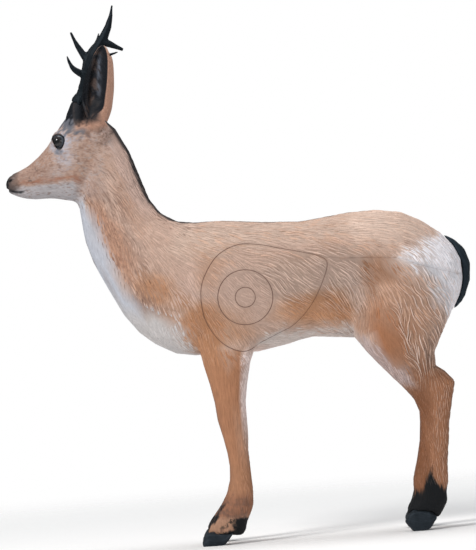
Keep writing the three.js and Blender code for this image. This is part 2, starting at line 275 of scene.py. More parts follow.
def face_carving(spot):
    """How far the face stands out from its plain form, in millimetres."""
    x, y, z = spot.T
    side = np.abs(y)
    fade = ramp(-x, 312, 332)
    slit = from_line(x, z, MOUTH)
    relief = -1.9 * bell(slit, 1.7) * fade
    relief += 0.7 * bell(slit - 4.0, 2.2) * fade
    relief -= 0.7 * bell(from_line(x, z, JAW_LINE), 2.4) * ramp(side, 6, 12)
    relief -= 0.8 * bell(from_line(x, z, PAD_EDGE), 1.5)
    reach = np.hypot((x - NOSTRIL[0]) / 4.2, (z - NOSTRIL[1] - 0.35 * (x - NOSTRIL[0])) / 2.4)
    relief += np.where(side > 3, 0.8 * bell(reach - 1.3, 0.5) - 3.4 * bell(reach, 1), 0)
    around_eye = np.hypot(x - EYE_CENTRE[0], z - EYE_CENTRE[2])
    brow = bell(around_eye - 20, 3.5) * ramp(z, 836, 850) * ramp(side, 20, 28)
    duct = from_line(x, z, TEAR_DUCT)
    relief += 1.3 * brow - bell(duct, 2.2) * ramp(side, 18, 24)
    return relief


def on_face(vertex):
    """Whether a vertex of the skin is on the face."""
    x, z = (vertex.co[0] - plumb_line) * 1000, vertex.co[2] * 1000
    return x < -150 and z > 700 and x + 0.6 * (z - 800) < -120


fine = bmesh.new()
fine.from_mesh(casting)
chosen = [edge for edge in fine.edges if on_face(edge.verts[0]) and on_face(edge.verts[1])]
bmesh.ops.subdivide_edges(fine, edges=chosen, cuts=1, use_grid_fill=True)
fine.to_mesh(casting)
fine.free()
places, edges = mesh_arrays(casting)
spot = on_the_deer(places)
x, y, z = spot.T
on_head = ramp(-x, 150, 165) * ramp(z, 700, 712)
places = eased(places, edges, 0.5 * on_head, 4)
moved(casting, places)
places = places + vertex_normals(casting) * (face_carving(on_the_deer(places)) * on_head)[:, None] / 1000
moved(casting, places)
kept_fine = skin.vertex_groups.new(name="kept_fine")
fineness = np.maximum(on_head, 0.6 * ramp(-z, -110, -80))
for level in (0.25, 0.5, 0.75, 1.0):
    chosen = np.nonzero((fineness > level - 0.25) & (fineness <= level))[0]
    kept_fine.add(chosen.tolist(), level, "REPLACE")
thin = skin.modifiers.new("thinned", "DECIMATE")
thin.ratio = SKIN_THINNING
thin.vertex_group = "kept_fine"
thin.invert_vertex_group = True
casting = with_modifiers(skin)
skin.vertex_groups.clear()

EAR_LENGTH = 191.0
EAR_ROOT = np.array([-182.0, 44.0, 840.0])
EAR_AXIS = np.array([0.137, 0.384, 0.913])
EAR_FACING = np.array([-0.70, 0.71, 0.0])
EAR_WALL = 4.6
EAR_RINGS = 44
EAR_ARC = 25
EAR_LIFT = 0.45


def unit(arrows):
    """The arrows, each at a length of one."""
    return arrows / np.maximum(np.linalg.norm(arrows, axis=-1, keepdims=True), 1e-9)


def ear_shell(side):
    """One hollow ear, closed all round: the back, the rolled rim, and the folded inside of the cup."""
    facing = unit(EAR_FACING - EAR_AXIS * (EAR_FACING @ EAR_AXIS))
    across = np.cross(EAR_AXIS, facing)
    ear = bmesh.new()
    rings = []
    for i in range(EAR_RINGS):
        s = 1 - (1 - i / (EAR_RINGS - 1)) ** 1.25
        belly = (ramp(np.array(s), 0.0, 0.4) * 21 + 14) * (1 - 0.1 * ramp(np.array(s), 0.5, 0.85))
        tip = math.sqrt(max(0.0, 1 - max(0.0, (s - 0.46) / 0.54) ** 2.3))
        half = max(0.6, float(belly) * tip)
        cup = float(ramp(np.array(s), 0.17, 0.36))
        wall = min(EAR_WALL * (1.3 - 0.45 * s), half * 0.6)
        inner = (half - wall) * (0.1 + 0.9 * cup)
        hollow = half * (0.74 - 0.1 * s)
        opening = math.pi * (0.72 - 0.16 * min(1.0, s / 0.4) - 0.10 * max(0.0, s - 0.5) * 2)
        middle = EAR_ROOT + EAR_AXIS * EAR_LENGTH * s + facing * (1 - cup) * -3
        middle = middle + across * 4 * math.sin(math.pi * s)
        middle = middle + np.array([1.5 + 8.5 * s * s, 0, 0])
        turns = np.linspace(-opening, opening, EAR_ARC)
        outside = [middle + across * half * math.sin(t) - facing * hollow * math.cos(t) for t in turns]
        inside = []
        for t in turns[::-1]:
            fold = 1 + 0.07 * math.cos(7 * t) * cup
            inside.append(middle + across * inner * fold * math.sin(t)
                          - facing * ((hollow - wall) * fold * math.cos(t) * cup - (1 - cup) * hollow * 0.8))
        rims = [(a + b) / 2 + facing * wall * EAR_LIFT
                for a, b in ((outside[-1], inside[0]), (inside[-1], outside[0]))]
        loop = outside + [rims[0]] + inside + [rims[1]]
        rings.append([ear.verts.new(in_the_frame(point * [1, side, 1])) for point in loop])
    count = len(rings[0])
    for ring, following in zip(rings, rings[1:]):
        for k in range(count):
            ear.faces.new((ring[k], ring[(k + 1) % count], following[(k + 1) % count], following[k]))
    ear.faces.new(rings[0][::-1])
    ear.faces.new(rings[-1])
    bmesh.ops.triangulate(ear, faces=ear.faces)
    bmesh.ops.recalc_face_normals(ear, faces=ear.faces)
    return as_mesh("ear", ear)


def carve(operation, mesh):
    """Adds mesh to the skin, or cuts it away, and returns the skin's new mesh."""
    tool = new_piece("tool", mesh)
    cut = skin.modifiers.new("carved", "BOOLEAN")
    cut.operation = operation
    cut.solver = "MANIFOLD"
    cut.object = tool
    result = with_modifiers(skin)
    bpy.data.objects.remove(tool)
    return result


def lid_opening(side):
    """The gap between the lids, a rounded triangle with its point down, as a short prism to cut with."""
    outline = drawn_line(LID_OUTLINE, True, 1.5)
    prism = bmesh.new()
    inner, outer = ([prism.verts.new(in_the_frame((x, side * (EYE_CENTRE[1] + out), z))) for x, z in outline]
                    for out in (5, 30))
    for k in range(len(outline)):
        after = (k + 1) % len(outline)
        prism.faces.new((inner[k], inner[after], outer[after], outer[k]))
    prism.faces.new(inner[::-1])
    prism.faces.new(outer)
    bmesh.ops.recalc_face_normals(prism, faces=prism.faces)
    return as_mesh("lids", prism)


carve("UNION", joined_meshes("ears", [ear_shell(side) for side in (-1, 1)]))
sockets = [ball_mesh(centre, EYE_RADIUS + SOCKET_GAP, 5) for centre in both_sides(EYE_CENTRE)]
carve("DIFFERENCE", joined_meshes("sockets", sockets))
carve("DIFFERENCE", joined_meshes("lids", [lid_opening(side) for side in (-1, 1)]))

# ---- The scored lines: target rings and the joint of the chest insert ----
# Grooves scored into both sides before painting: two round rings over the lungs, the large outline of the
# vital zone around them, and the line where the chest block meets the back of the casting.
RING_CENTRE = (98.5, 492.5)
RING_RADII = (20.0, 55.0)
VITAL_ZONE = ((10, 498), (18, 536), (47, 578), (88, 598), (132, 596), (176, 585), (223, 573), (254, 563),
              (267, 548), (255, 512), (228, 466), (192, 431), (158, 415), (124, 400), (94, 385), (66, 391),
              (38, 413), (16, 452))
CHEST_JOINT = ((272, 561), (300, 556), (357, 553), (414, 547),
               (445, 534), (475, 524), (505, 515), (536, 506))
GROOVE_RADIUS = 1.05
JOINT_RADIUS = 0.7
GROOVE_STEP = 2.2
TUBE_SIDES = 8
TUBE_LIFT = 0.00022


def scored_tube(cutter, line, side, radius, closed):
    """Adds to cutter a tube along the line, on that side. Returns its centres and the way out of the skin."""
    centres, outward = [], []
    for x, z in line:
        start = Vector(in_the_frame((x, 300 * side, z)))
        hit, normal = surface.ray_cast(start, Vector((0, -side, 0)))[:2]
        if hit is not None:
            centres.append(np.array(hit) + np.array(normal) * radius * TUBE_LIFT)
            outward.append(np.array(normal))
    centres, outward = np.array(centres), np.array(outward)
    ahead = np.roll(centres, -1, 0) - np.roll(centres, 1, 0)
    if not closed:
        ahead[0], ahead[-1] = centres[1] - centres[0], centres[-1] - centres[-2]
    across = unit(np.cross(ahead, outward))
    rings = []
    for middle, right, up in zip(centres, across, outward):
        ring = []
        for spoke in range(TUBE_SIDES):
            angle = math.tau * spoke / TUBE_SIDES
            arm = (right * math.cos(angle) + up * math.sin(angle)) * radius / 1000
            ring.append(cutter.verts.new(middle + arm))
        rings.append(ring)
    for ring, following in zip(rings, rings[1:] + rings[:1] if closed else rings[1:]):
        for spoke in range(TUBE_SIDES):
            after = (spoke + 1) % TUBE_SIDES
            cutter.faces.new((ring[spoke], ring[after], following[after], following[spoke]))
    if not closed:
        cutter.faces.new(rings[0][::-1])
        cutter.faces.new(rings[-1])
    return np.hstack([centres, outward])


surface = BVHTree.FromObject(skin, bpy.context.evaluated_depsgraph_get())
ring_angles = np.linspace(0, math.tau, 25)[:-1]
round_about = np.column_stack([np.cos(ring_angles), np.sin(ring_angles)])
rings = [RING_CENTRE + radius * round_about for radius in RING_RADII]
cutter = bmesh.new()
scored = []
for side in (-1, 1):
    for outline in rings + [VITAL_ZONE]:
        scored.append(scored_tube(cutter, drawn_line(outline, True, GROOVE_STEP), side, GROOVE_RADIUS, True))
    scored.append(scored_tube(cutter, drawn_line(CHEST_JOINT, False, GROOVE_STEP), side, JOINT_RADIUS, False))
bmesh.ops.recalc_face_normals(cutter, faces=cutter.faces)
casting = carve("DIFFERENCE", as_mesh("scoring_tool", cutter))
scored, scored_outward = np.hsplit(np.vstack(scored), 2)

# ---- The airbrushed paint ----
# Water-based paint sprayed over the foam in soft, streaky fields: tan and rust over a pale ground, white bib,
# belly and rump, black feet, crown and nape. One function gives it for any place, so that the skin and the
# coat carry the same marks.
TONES = {
    "back": (203, 177, 161), "side": (196, 166, 150), "pink": (200, 170, 156), "rust": (176, 126, 92),
    "flank": (202, 174, 158), "lower_flank": (192, 140, 104), "inner_ring": (186, 158, 144),
    "thigh": (164, 112, 80), "haunch": (208, 165, 139), "belly": (212, 200, 194), "fold": (160, 118, 92),
    "fold_grey": (200, 176, 164), "pale_band": (184, 166, 164), "rump": (250, 247, 252),
    "rump_top": (228, 202, 186), "bib": (195, 198, 208), "bib_low": (202, 197, 196), "neck": (198, 168, 152),
    "neck_rust": (184, 140, 116), "nape": (202, 174, 162), "streak": (112, 84, 72), "dorsal": (40, 38, 40),
    "foreleg": (176, 124, 92), "foreleg_rear": (234, 216, 211), "cannon": (172, 124, 94),
    "fetlock": (150, 104, 80), "pastern": (172, 132, 108), "black": (13, 15, 18), "hock": (146, 102, 76),
    "hind_front": (133, 86, 58), "hind_rear": (166, 116, 86), "hind_foot": (13, 16, 20),
    "cheek": (170, 150, 144), "cheek_warm": (178, 142, 122), "eye_ring": (182, 182, 194),
    "muzzle": (162, 131, 116), "muzzle_line": (156, 106, 84), "jaw": (178, 172, 174), "nose": (80, 69, 66),
    "nose_top": (112, 92, 84), "crown": (6, 12, 20), "crown_smear": (92, 98, 110), "ear_base": (140, 108, 92),
    "ear_back": (206, 158, 134), "ear_inside": (26, 29, 35), "ear_wall_sheen": (104, 110, 122),
    "ear_hair": (70, 56, 50), "ear_rim": (210, 180, 164),
}

# How the hair lies, as if combed from nose to tail: a place on the side, x and z, and its fall below level.
LIE = (
    (-345, 765, -14), (-290, 790, -22), (-255, 750, 0), (-240, 870, -50), (-225, 790, 8), (-195, 760, 45),
    (-200, 850, -30), (-160, 850, 52), (-150, 840, 60), (-130, 740, 65), (-200, 700, 80), (-215, 640, 85),
    (-80, 640, 50), (-30, 640, 35), (-140, 600, 76), (-150, 520, 84), (-100, 470, 85), (-60, 430, 80),
    (-40, 540, 56), (0, 600, 40), (20, 440, 75), (30, 330, 88), (60, 560, 40), (60, 640, 18), (100, 490, 42),
    (100, 610, 22), (110, 410, 50), (200, 610, 18), (200, 540, 32), (200, 480, 46), (190, 420, 25),
    (250, 430, 58), (300, 480, 62), (300, 600, 15), (300, 560, 27), (350, 520, 72), (370, 430, 88),
    (380, 630, 6), (400, 590, 12), (410, 500, 84), (430, 420, 70), (440, 600, 18), (460, 470, 64),
    (480, 565, 34), (500, 530, 48), (520, 490, 62), (400, 350, 66), (460, 300, 80), (470, 200, 88),
    (450, 100, 86), (30, 180, 88), (30, 60, 84),
)
LIE_REACH = 42.0


def cloud(points, seed):
    """Soft noise from 0 to 1, with one cell to a unit."""
    cell = np.floor(points).astype(np.int64)
    part = points - cell
    part = part * part * (3 - 2 * part)
    total = np.zeros(len(points))
    for corner in range(8):
        step = np.array([corner & 1, corner >> 1 & 1, corner >> 2 & 1])
        key = (cell + step) * np.array([73856093, 19349663, 83492791])
        mixed = key[:, 0] ^ key[:, 1] ^ key[:, 2] ^ (seed * 668265263)
        mixed = ((mixed ^ (mixed >> 13)) * 1274126177) & 0x7FFFFFFF
        weight = np.prod(np.where(step, part, 1 - part), axis=1)
        total += weight * (((mixed ^ (mixed >> 15)) & 0xFFFF) / 65535)
    return total


def fall_of_hair(x, z):
    """The angle of the lie below level, tailward, in radians."""
    along, down = np.zeros_like(x), np.zeros_like(x)
    for place_x, place_z, degrees in LIE:
        gap = (x - place_x) ** 2 + (z - place_z) ** 2
        weight = np.exp(-gap / (2 * LIE_REACH**2)) + 1 / (1 + gap) ** 1.5
        along += weight * math.cos(math.radians(degrees))
        down += weight * math.sin(math.radians(degrees))
    return np.arctan2(down, along)


def on_ears(spot):
    """1 on the ears, from a little above the skull."""
    x, y, z = spot.T
    return ramp(np.abs(y) - 0.3 * (z - 850), 34, 44) * ramp(z, 852, 868) * ramp(x, -222, -212)


def lie_weights(angle):
    """Shares of the six fixed directions, 30 degrees apart, that the lie falls between."""
    turns = (angle / math.radians(30)) % 6
    return np.stack([np.maximum(0, 1 - np.abs((turns - k + 3) % 6 - 3)) for k in range(6)], axis=1)


def strokes(spot, angle, length, width, seed):
    """Noise drawn out along the lie of the hair, from 0 to 1."""
    shares = lie_weights(angle)
    total = np.zeros(len(spot))
    for k in range(6):
        turn = math.radians(30 * k)
        along = spot[:, 0] * math.cos(turn) - spot[:, 2] * math.sin(turn)
        across = spot[:, 0] * math.sin(turn) + spot[:, 2] * math.cos(turn)
        drawn_out = np.column_stack([along / length, across / width, spot[:, 1] / width])
        total += shares[:, k] * cloud(drawn_out, seed + k)
    return total


def inside_of_ear(spot, normal):
    """1 on the hollow side of an ear, where the surface looks back at the ear's own axis, and 0 behind it."""
    mirror = np.where(spot[:, 1:2] < 0, -1.0, 1.0) * [0, 1, 0] + [1, 0, 1]
    arm = spot * mirror - EAR_ROOT
    inward = unit(np.outer(arm @ EAR_AXIS, EAR_AXIS) - arm)
    return ramp(np.sum(inward * normal * mirror, axis=1), -0.35, 0.1)


def in_bib(x, z):
    """How far in front of the edge of the white bib a place lies, in millimetres."""
    return np.interp(z, [372, 388, 415, 447, 468, 480, 498, 525, 546, 567, 593, 619, 651, 682, 712],
                     [10, -1, -25, -42, -54, -90, -122, -145, -153, -163, -176, -184, -195, -204, -207]) - x


def paint(spot, normal):
    """The colour of the paint at places on the deer, in linear light."""
    x, y, z = spot.T
    side = np.abs(y)
    angle = fall_of_hair(x, z)
    fine = strokes(spot, angle, 26, 3.0, 11) - 0.5
    broad = strokes(spot, angle, 60, 9.0, 31) - 0.5
    drift = cloud(spot / 45, 51) - 0.5
    ragged = 26 * fine + 30 * broad + 16 * drift
    colour = np.zeros((len(spot), 3)) + TONES["side"]

    def spray(name, share):
        share = np.clip(share, 0, 1)[:, None]
        colour[:] = colour * (1 - share) + np.array(TONES[name]) * share

    def puff(cx, cz, rx, rz, lean=0.0, soft=0.5):
        """A soft oval of paint on both sides, about that place."""
        c, s = math.cos(math.radians(lean)), math.sin(math.radians(lean))
        u, v = (x - cx) * c - (z - cz) * s, (x - cx) * s + (z - cz) * c
        reach = np.sqrt((u / rx) ** 2 + (v / rz) ** 2) + ragged / (rx + rz) * 0.8
        return 1 - ramp(reach, 1 - soft, 1 + soft)

    def beyond(distance, soft):
        """Full where the distance past an edge is more than nothing, with a streaky edge."""
        return ramp(distance + ragged, -soft, soft)

    behind = ramp(x, 300, 330)
    fore = ramp(-x, -150, -120)
    under = ramp(-z, -396, -380)
    mottle = cloud(spot / 10, 53) + cloud(spot / 5, 55) - 1
    flecks = ramp(strokes(spot, angle, 15, 2.4, 57), 0.6, 0.76)

    # trunk and neck
    # Paler along the top of the back: partly the paint, and partly a painted highlight where the light falls
    # from above.
    spray("back", beyond(z - 596 - 0.05 * (x - 200), 24) * 0.9)
    spray("flank", 0.8 * puff(245, 528, 120, 46, -4))
    spray("pink", 0.7 * puff(10, 520, 60, 44, -20) + 0.5 * puff(290, 500, 40, 60, -10))
    spray("neck", beyond(-30 - x + 0.35 * (z - 640), 24) * ramp(z, 480, 560))
    spray("neck_rust", 0.85 * puff(-152, 622, 22, 66, -27) + 0.6 * puff(-188, 706, 14, 44, -10)
          + 0.45 * puff(-138, 556, 16, 40, -25))
    spray("neck_rust", 0.35 * puff(-118, 690, 20, 60, -20) + 0.35 * mottle * ramp(-x, 20, 60))
    spray("nape", 0.8 * beyond(x + 128 + 0.42 * (z - 740), 12) * ramp(z, 650, 700) * ramp(-x, 30, 70))
    spray("rust", 0.95 * puff(10, 430, 50, 60, 14, 0.3) + 0.8 * puff(-80, 522, 36, 28, 20))
    spray("rust", 0.6 * puff(68, 440, 42, 34, 30) + 0.35 * puff(30, 548, 26, 40))
    spray("back", 0.6 * puff(292, 500, 26, 40, -10))
    spray("inner_ring", 0.7 * puff(100, 490, 58, 56, 0, 0.35))
    spray("lower_flank", 0.95 * puff(238, 462, 76, 32, -3, 0.4) + 0.7 * puff(292, 448, 24, 26))

    # haunch, thigh and belly
    on_top = ramp(strokes(spot, angle, 60, 6, 61), 0.52, 0.7) * ramp(z, 540, 570) * ramp(x, -20, 20)
    spray("haunch", 0.5 * on_top)
    spray("rump_top", 0.6 * behind * beyond(z - 566 - 0.1 * (480 - x), 14))
    spray("haunch", 0.85 * beyond(66 - np.hypot((x - 420) * 0.9, (z - 450) * 0.6), 22))
    spray("thigh", 0.95 * puff(382, 398, 29, 58, -16, 0.45) + 0.35 * puff(354, 446, 20, 36)
          + 0.8 * puff(370, 362, 24, 36, -10))
    # Darker brown where the flank folds into the thigh: painted shade in the fold.
    spray("fold", 0.1 * puff(372, 562, 30, 20, -10) + 0.95 * puff(377, 527, 36, 25)
          + 0.7 * puff(350, 516, 14, 44, -6))
    spray("fold_grey", 0.5 * puff(318, 480, 16, 44, -12))
    belly_line = np.interp(x, [60, 100, 139, 187, 219, 252, 300, 340],
                           [372, 388, 420, 418, 412, 416, 418, 400])
    spray("belly", beyond(belly_line - z, 9) * ramp(x, 84, 120) * ramp(-x, -345, -315))
    # More painted shade, low in the fold in front of the thigh.
    spray("fold", 0.6 * puff(328, 420, 12, 34, 12))

    # legs
    spray("foreleg", under * ramp(-x, -150, -100))
    spray("rust", 0.7 * under * ramp(z, 300, 390) * ramp(-x, -80, -40))
    rear_edge = np.interp(z, [140, 245, 306, 382], [75, 72, 73, 82])
    spray("foreleg_rear", ramp(x - rear_edge + 0.25 * ragged, -4, 4) * ramp(z, 140, 260) * under * fore)
    spray("cannon", 0.8 * ramp(-z, -190, -150) * fore)
    spray("fetlock", 0.9 * ramp(-z, -112, -84) * fore)
    spray("streak", 0.4 * ramp(mottle, 0.1, 0.5) * ramp(-z, -110, -84) * fore)
    spray("hock", behind * ramp(-z - 0.9 * ragged, -366, -306))
    before_thigh = ramp(337 + (390 - z) * 0.92 - x + 0.5 * ragged, -8, 6)
    spray("pale_band", 0.9 * behind * before_thigh * ramp(z, 270, 300) * ramp(-z, -420, -385))
    spray("hind_front", behind * ramp(-z, -300, -270) * 0.9)
    spray("hind_rear", behind * beyond(x - 452 - 0.06 * (z - 200), 7) * ramp(-z, -320, -280))
    # Darker brown where the shins turn edge-on, at the front of the forelegs and at front and back of the
    # hind legs: painted shade.
    shins = ramp(-z, -330, -290)
    edge_on = np.where(behind > 0.5, np.abs(normal[:, 0]), -normal[:, 0])
    spray("streak", 0.3 * shins * ramp(edge_on, 0.72, 1.0))
    spray("streak", 0.3 * ramp(mottle, 0.25, 0.7) * ramp(-z, -430, -330))

    # rump
    lowered = z - 0.3 * np.maximum(side - 35, 0) * ramp(-z, -470, -440)
    rump_edge = np.interp(lowered, [380, 406, 437, 484, 516, 532, 541, 549, 556, 566, 580, 588, 600],
                          [503, 495, 484, 466, 444, 428, 415, 404, 411, 428, 452, 480, 524])
    within_rump = x - rump_edge + 1.5 * ragged
    soft_edge = ramp(within_rump, -18 - 16 * ramp(z, 515, 560), 26)
    spray("rump", behind * (1 - 0.3 * flecks) * soft_edge * ramp(z + 0.8 * ragged, 384, 402))
    spray("haunch", 0.35 * behind * flecks * ramp(within_rump, -10, 0) * ramp(-within_rump, -40, -10))

    # bib, with dark hair along its edge, and the stripe down nape and back
    past = in_bib(x, z) + 12 * ramp(-side, -32, -18)
    spray("bib", ramp(past + 0.9 * ragged, -10, 10) * ramp(-z, -745, -700) * ramp(z, 366, 384))
    spray("bib_low", ramp(past + 0.9 * ragged, -8, 10) * ramp(-z, -500, -460) * ramp(z, 366, 384))
    dark_hair = ramp(strokes(spot, angle, 17, 1.9, 58), 0.5, 0.66) * ramp(side, 6, 20)
    fringe = ramp(24 - np.abs(past + 12), 0, 16) * ramp(z, 470, 500) * ramp(-z, -740, -700)
    beside = ramp(-x, 40, 90) * ramp(past, -130, -30) * ramp(-past, 0, 20) * ramp(-z, -760, -700)
    below = ramp(-past, -60, -5) * ramp(past, -5, 5) * ramp(z, 380, 400) * ramp(-x, 20, 60)
    spray("streak", 0.4 * dark_hair * fringe)
    spray("streak", 0.3 * dark_hair * beside)
    spray("streak", 0.6 * flecks * ramp(-x, 50, 100) * ramp(z, 510, 590) * ramp(past, -110, -20))
    spray("streak", 0.3 * flecks * below)
    crest = np.interp(x, [-185, -165, -140, -40, 20, 300, 430], [4, 13, 21, 20, 9, 6, 3]) + 0.22 * ragged
    top = ramp(x + 0.4 * ragged, -182, -160) * (z > 560) * ramp(z + 0.9 * np.minimum(x, 0), 590, 625)
    spray("dorsal", (1 - 0.4 * ramp(x, -20, 40)) * ramp(crest - side, -4, 4) * top * ramp(-x, -430, -300))
    spray("streak", 0.75 * flecks * puff(-34, 648, 48, 17, 24))

    # feet
    peak = 26 * bell(x - 442, 11.0)
    spray("hind_foot", behind * ramp(-(z - 78 + 0.9 * ragged - peak), -7, 7))
    spray("pastern", fore * ramp(-z, -62, -50) * ramp(z, 8, 16))
    spray("black", fore * ramp(-(z - 13 - 13 * ramp(x, 6, 30) + 0.3 * ragged), -4, 4))
    grit = cloud(spot / 5, 59) + 0.8 * cloud(spot / 2.4, 60) - 0.9
    heel = ramp(x - 42 + 0.4 * ragged + 12 * grit, -6, 6) * ramp(-z + 0.2 * ragged + 4 * grit, -56, -48)
    front_of_foot = from_line(x, z, ((-30, 4), (-20, 22), (-9, 40), (7, 64), (22, 84)))
    toe = ramp(4.5 - front_of_foot + 0.3 * ragged + 4 * grit, -3, 3) * ramp(-z, -92, -70)
    spray("black", fore * np.maximum(heel, toe))
    spray("black", 0.7 * fore * ramp(grit + 0.5 * mottle, 0.15, 0.55) * ramp(-z, -60, -50) * ramp(x, 5, 25))
    # A dark line along the crease above the fore hoof: painted shade in the crease.
    crease = from_line(x, z, ((18, 66), (34, 58), (52, 56), (66, 58)))
    spray("streak", 0.6 * fore * ramp(4.0 - crease + 5 * grit, -1.5, 2.5))
    spray("streak", 0.35 * fore * ramp(grit, 0.0, 0.45) * ramp(-z, -104, -84) * ramp(z, 50, 60))

    # cheeks, muzzle and jaw
    face = ramp(-x, 150, 190) * ramp(z + 0.35 * (x + 190), 700, 722)
    spray("cheek", 0.85 * face * (0.75 + 0.5 * drift))
    spray("cheek_warm", face * (0.35 * ramp(mottle, -0.1, 0.5) + 0.5 * puff(-225, 768, 22, 14)
                                + 0.4 * puff(-196, 800, 16, 30) + 0.4 * puff(-276, 796, 18, 12)))
    spray("muzzle", 0.8 * ramp(-x, 262, 292) * ramp(z, 690, 700))
    sponge = cloud(spot / [3.9, 2.4, 2.0], 97) + 0.7 * cloud(spot / [8, 6, 5], 98) - 0.85
    head = ramp(-x + 0.5 * (z - 800), 120, 175) * ramp(z, 690, 730)
    spray("streak", 0.36 * head * ramp(sponge, 0.02, 0.5))
    spray("jaw", 0.4 * head * ramp(-sponge, 0.12, 0.42))
    broken = 0.25 + 0.5 * ramp(cloud(spot / 16, 99), 0.2, 0.7)
    along_mouth = bell(z - 756 - 0.02 * (x + 340) + 0.25 * ragged, 3.4)
    spray("muzzle_line", broken * ramp(-x, 214, 226) * ramp(x, -350, -338) * along_mouth)
    spray("muzzle_line", 0.8 * bell(x + 221, 9) * bell(z - 752 + 0.2 * ragged, 6))
    below_line = -(z - 748 + 0.3 * ragged + 3 * mottle)
    on_jaw = ramp(-x, 212, 232) * ramp(z, 690, 700)
    spray("jaw", ramp(below_line, -7, 5) * on_jaw)
    spray("streak", 0.4 * ramp(sponge, 0.08, 0.5) * ramp(below_line, -4, 4) * on_jaw)

    # round the eyes
    at_lids = np.hypot(x - EYE_CENTRE[0] - 1, (z - EYE_CENTRE[2] + 2) * 0.92)
    near_eye = ramp(-x, 190, 200) * ramp(side, 14, 22)
    speckle = ramp(cloud(spot / 4, 93) + 0.6 * mottle, 0.15, 0.75)
    pale_eye = np.maximum(ramp(23 - at_lids + 0.3 * ragged, -5, 5),
                          0.8 * ramp(20 - np.hypot(x + 242, (z - 806) * 0.8) + 0.6 * ragged, -9, 9))
    pale_corner = ramp(14 - np.hypot((x + 226) * 0.7, z - 832) + 0.5 * ragged, -6, 6)
    spray("eye_ring", (0.25 + 0.55 * speckle) * pale_eye * near_eye)
    spray("eye_ring", 0.55 * speckle * pale_corner * near_eye)
    tear = ramp(8 - np.hypot(x + 254, (z - 813) * 1.1) + 0.2 * ragged, -4, 4)
    spray("crown_smear", (0.3 + 0.3 * speckle) * tear * near_eye)

    # crown and roots of the ears
    smears = strokes(spot, np.full(len(x), -0.7), 13, 4, 91)
    blue_grey = ramp(z + 0.35 * (x + 215) + 64 * (smears - 0.5) + 0.4 * ragged, 832, 858) * face
    black_cap = ramp(z + 0.3 * (x + 215) + 0.4 * ragged + 26 * (smears - 0.5), 862, 876)
    spray("crown_smear", 0.85 * blue_grey * ramp(-x, 182, 200))
    spray("ear_base", 0.75 * face * ramp(z + 12 * mottle, 832, 852) * ramp(x, -204, -188))
    spray("streak", 0.5 * ramp(mottle, 0.1, 0.5) * face * ramp(z, 828, 850) * ramp(x, -206, -186))
    # The crown's black is tinted blue: partly its paint, and partly a painted bluish sheen.
    spray("crown", black_cap * ramp(-x, 168, 180))

    # nose and mouth
    freckle = cloud(spot / 3.2, 95) * cloud(spot / 11, 96)
    spray("nose", 0.5 * ramp(freckle, 0.5, 0.62) * ramp(-x, 262, 310) * ramp(z, 748, 756))
    spray("nose_top", 0.95 * ramp(-x + 0.8 * (z - 776) + 0.4 * ragged, 334, 350) * ramp(z, 764, 772))
    brownish = 0.4 * ramp(z, 746, 756) * ramp(x, -360, -350) * ramp(mottle + drift, -0.3, 0.4)
    spray("nose", (0.92 - brownish) * ramp(-x + 0.4 * ragged + 6 * mottle, 333, 354) * ramp(z, 736, 744))
    pad = ramp(1.25 - np.hypot(side / 17, (z - 759) / 19) + 0.008 * ragged, 0, 0.35)
    spray("black", 0.9 * pad * ramp(-x + 0.25 * ragged + 0.3 * np.abs(z - 757), 359, 366))
    slit = from_line(x, z, MOUTH)
    uneven = 0.5 + 0.45 * ramp(cloud(spot / 6, 94), 0.3, 0.65)
    spray("black", uneven * bell(slit, 2.6) * ramp(-x, 326, 340))
    nostril = np.hypot((x - NOSTRIL[0]) / 4.2, (z - NOSTRIL[1] - 0.35 * (x - NOSTRIL[0])) / 2.6)
    spray("black", bell(nostril, 1) * ramp(side, 3, 6))

    # lids
    on_left = np.column_stack([x, side, z])
    eye_gap = np.linalg.norm(on_left - EYE_CENTRE, axis=1)
    corner = np.linalg.norm(on_left - LID_CORNER, axis=1)
    lid = from_line(x, z, LID_OUTLINE + LID_OUTLINE[:1])
    upper_lid = ramp(z - 0.35 * (x + 250), 830, 842)
    around = ramp(EYE_RADIUS + 4 - eye_gap, 0, 1.5) * ramp(side, 25, 29)
    spray("nose", ramp(1.2 + 1.4 * upper_lid - lid, -0.8, 0.8) * around * (0.45 + 0.55 * upper_lid))
    spray("black", ramp(5 - corner, -1.5, 1.5))
    spray("black", ramp(EYE_RADIUS + 1.2 - eye_gap, -0.4, 0.4))

    # ears
    ear = ramp(side, 36, 44) * ramp(z, 846, 862) * ramp(x, -222, -212)
    inside = inside_of_ear(spot, normal)
    spray("ear_back", 0.9 * ear)
    front_of_root = ramp(-x, 158, 176) * ramp(z + 8 * mottle + 0.2 * ragged, 858, 874)
    hollow = ear * np.maximum(inside * ramp(z + 0.2 * ragged + 8 * mottle, 862, 876),
                              front_of_root * ramp(-z, -905, -885))
    spray("ear_inside", hollow)
    brown_patches = ramp(cloud(spot / [6, 6, 13], 92) + 0.5 * mottle, 0.45, 0.85)
    spray("ear_base", 0.5 * hollow * brown_patches * ramp(-(x - 0.15 * (z - 900)), 158, 176))
    hair = strokes(spot, np.full(len(x), -1.35), 24, 2.6, 77)
    spray("ear_hair", hollow * ramp(hair, 0.4, 0.7) * 0.8 * ramp(-(x - 0.15 * (z - 900)), 168, 186))
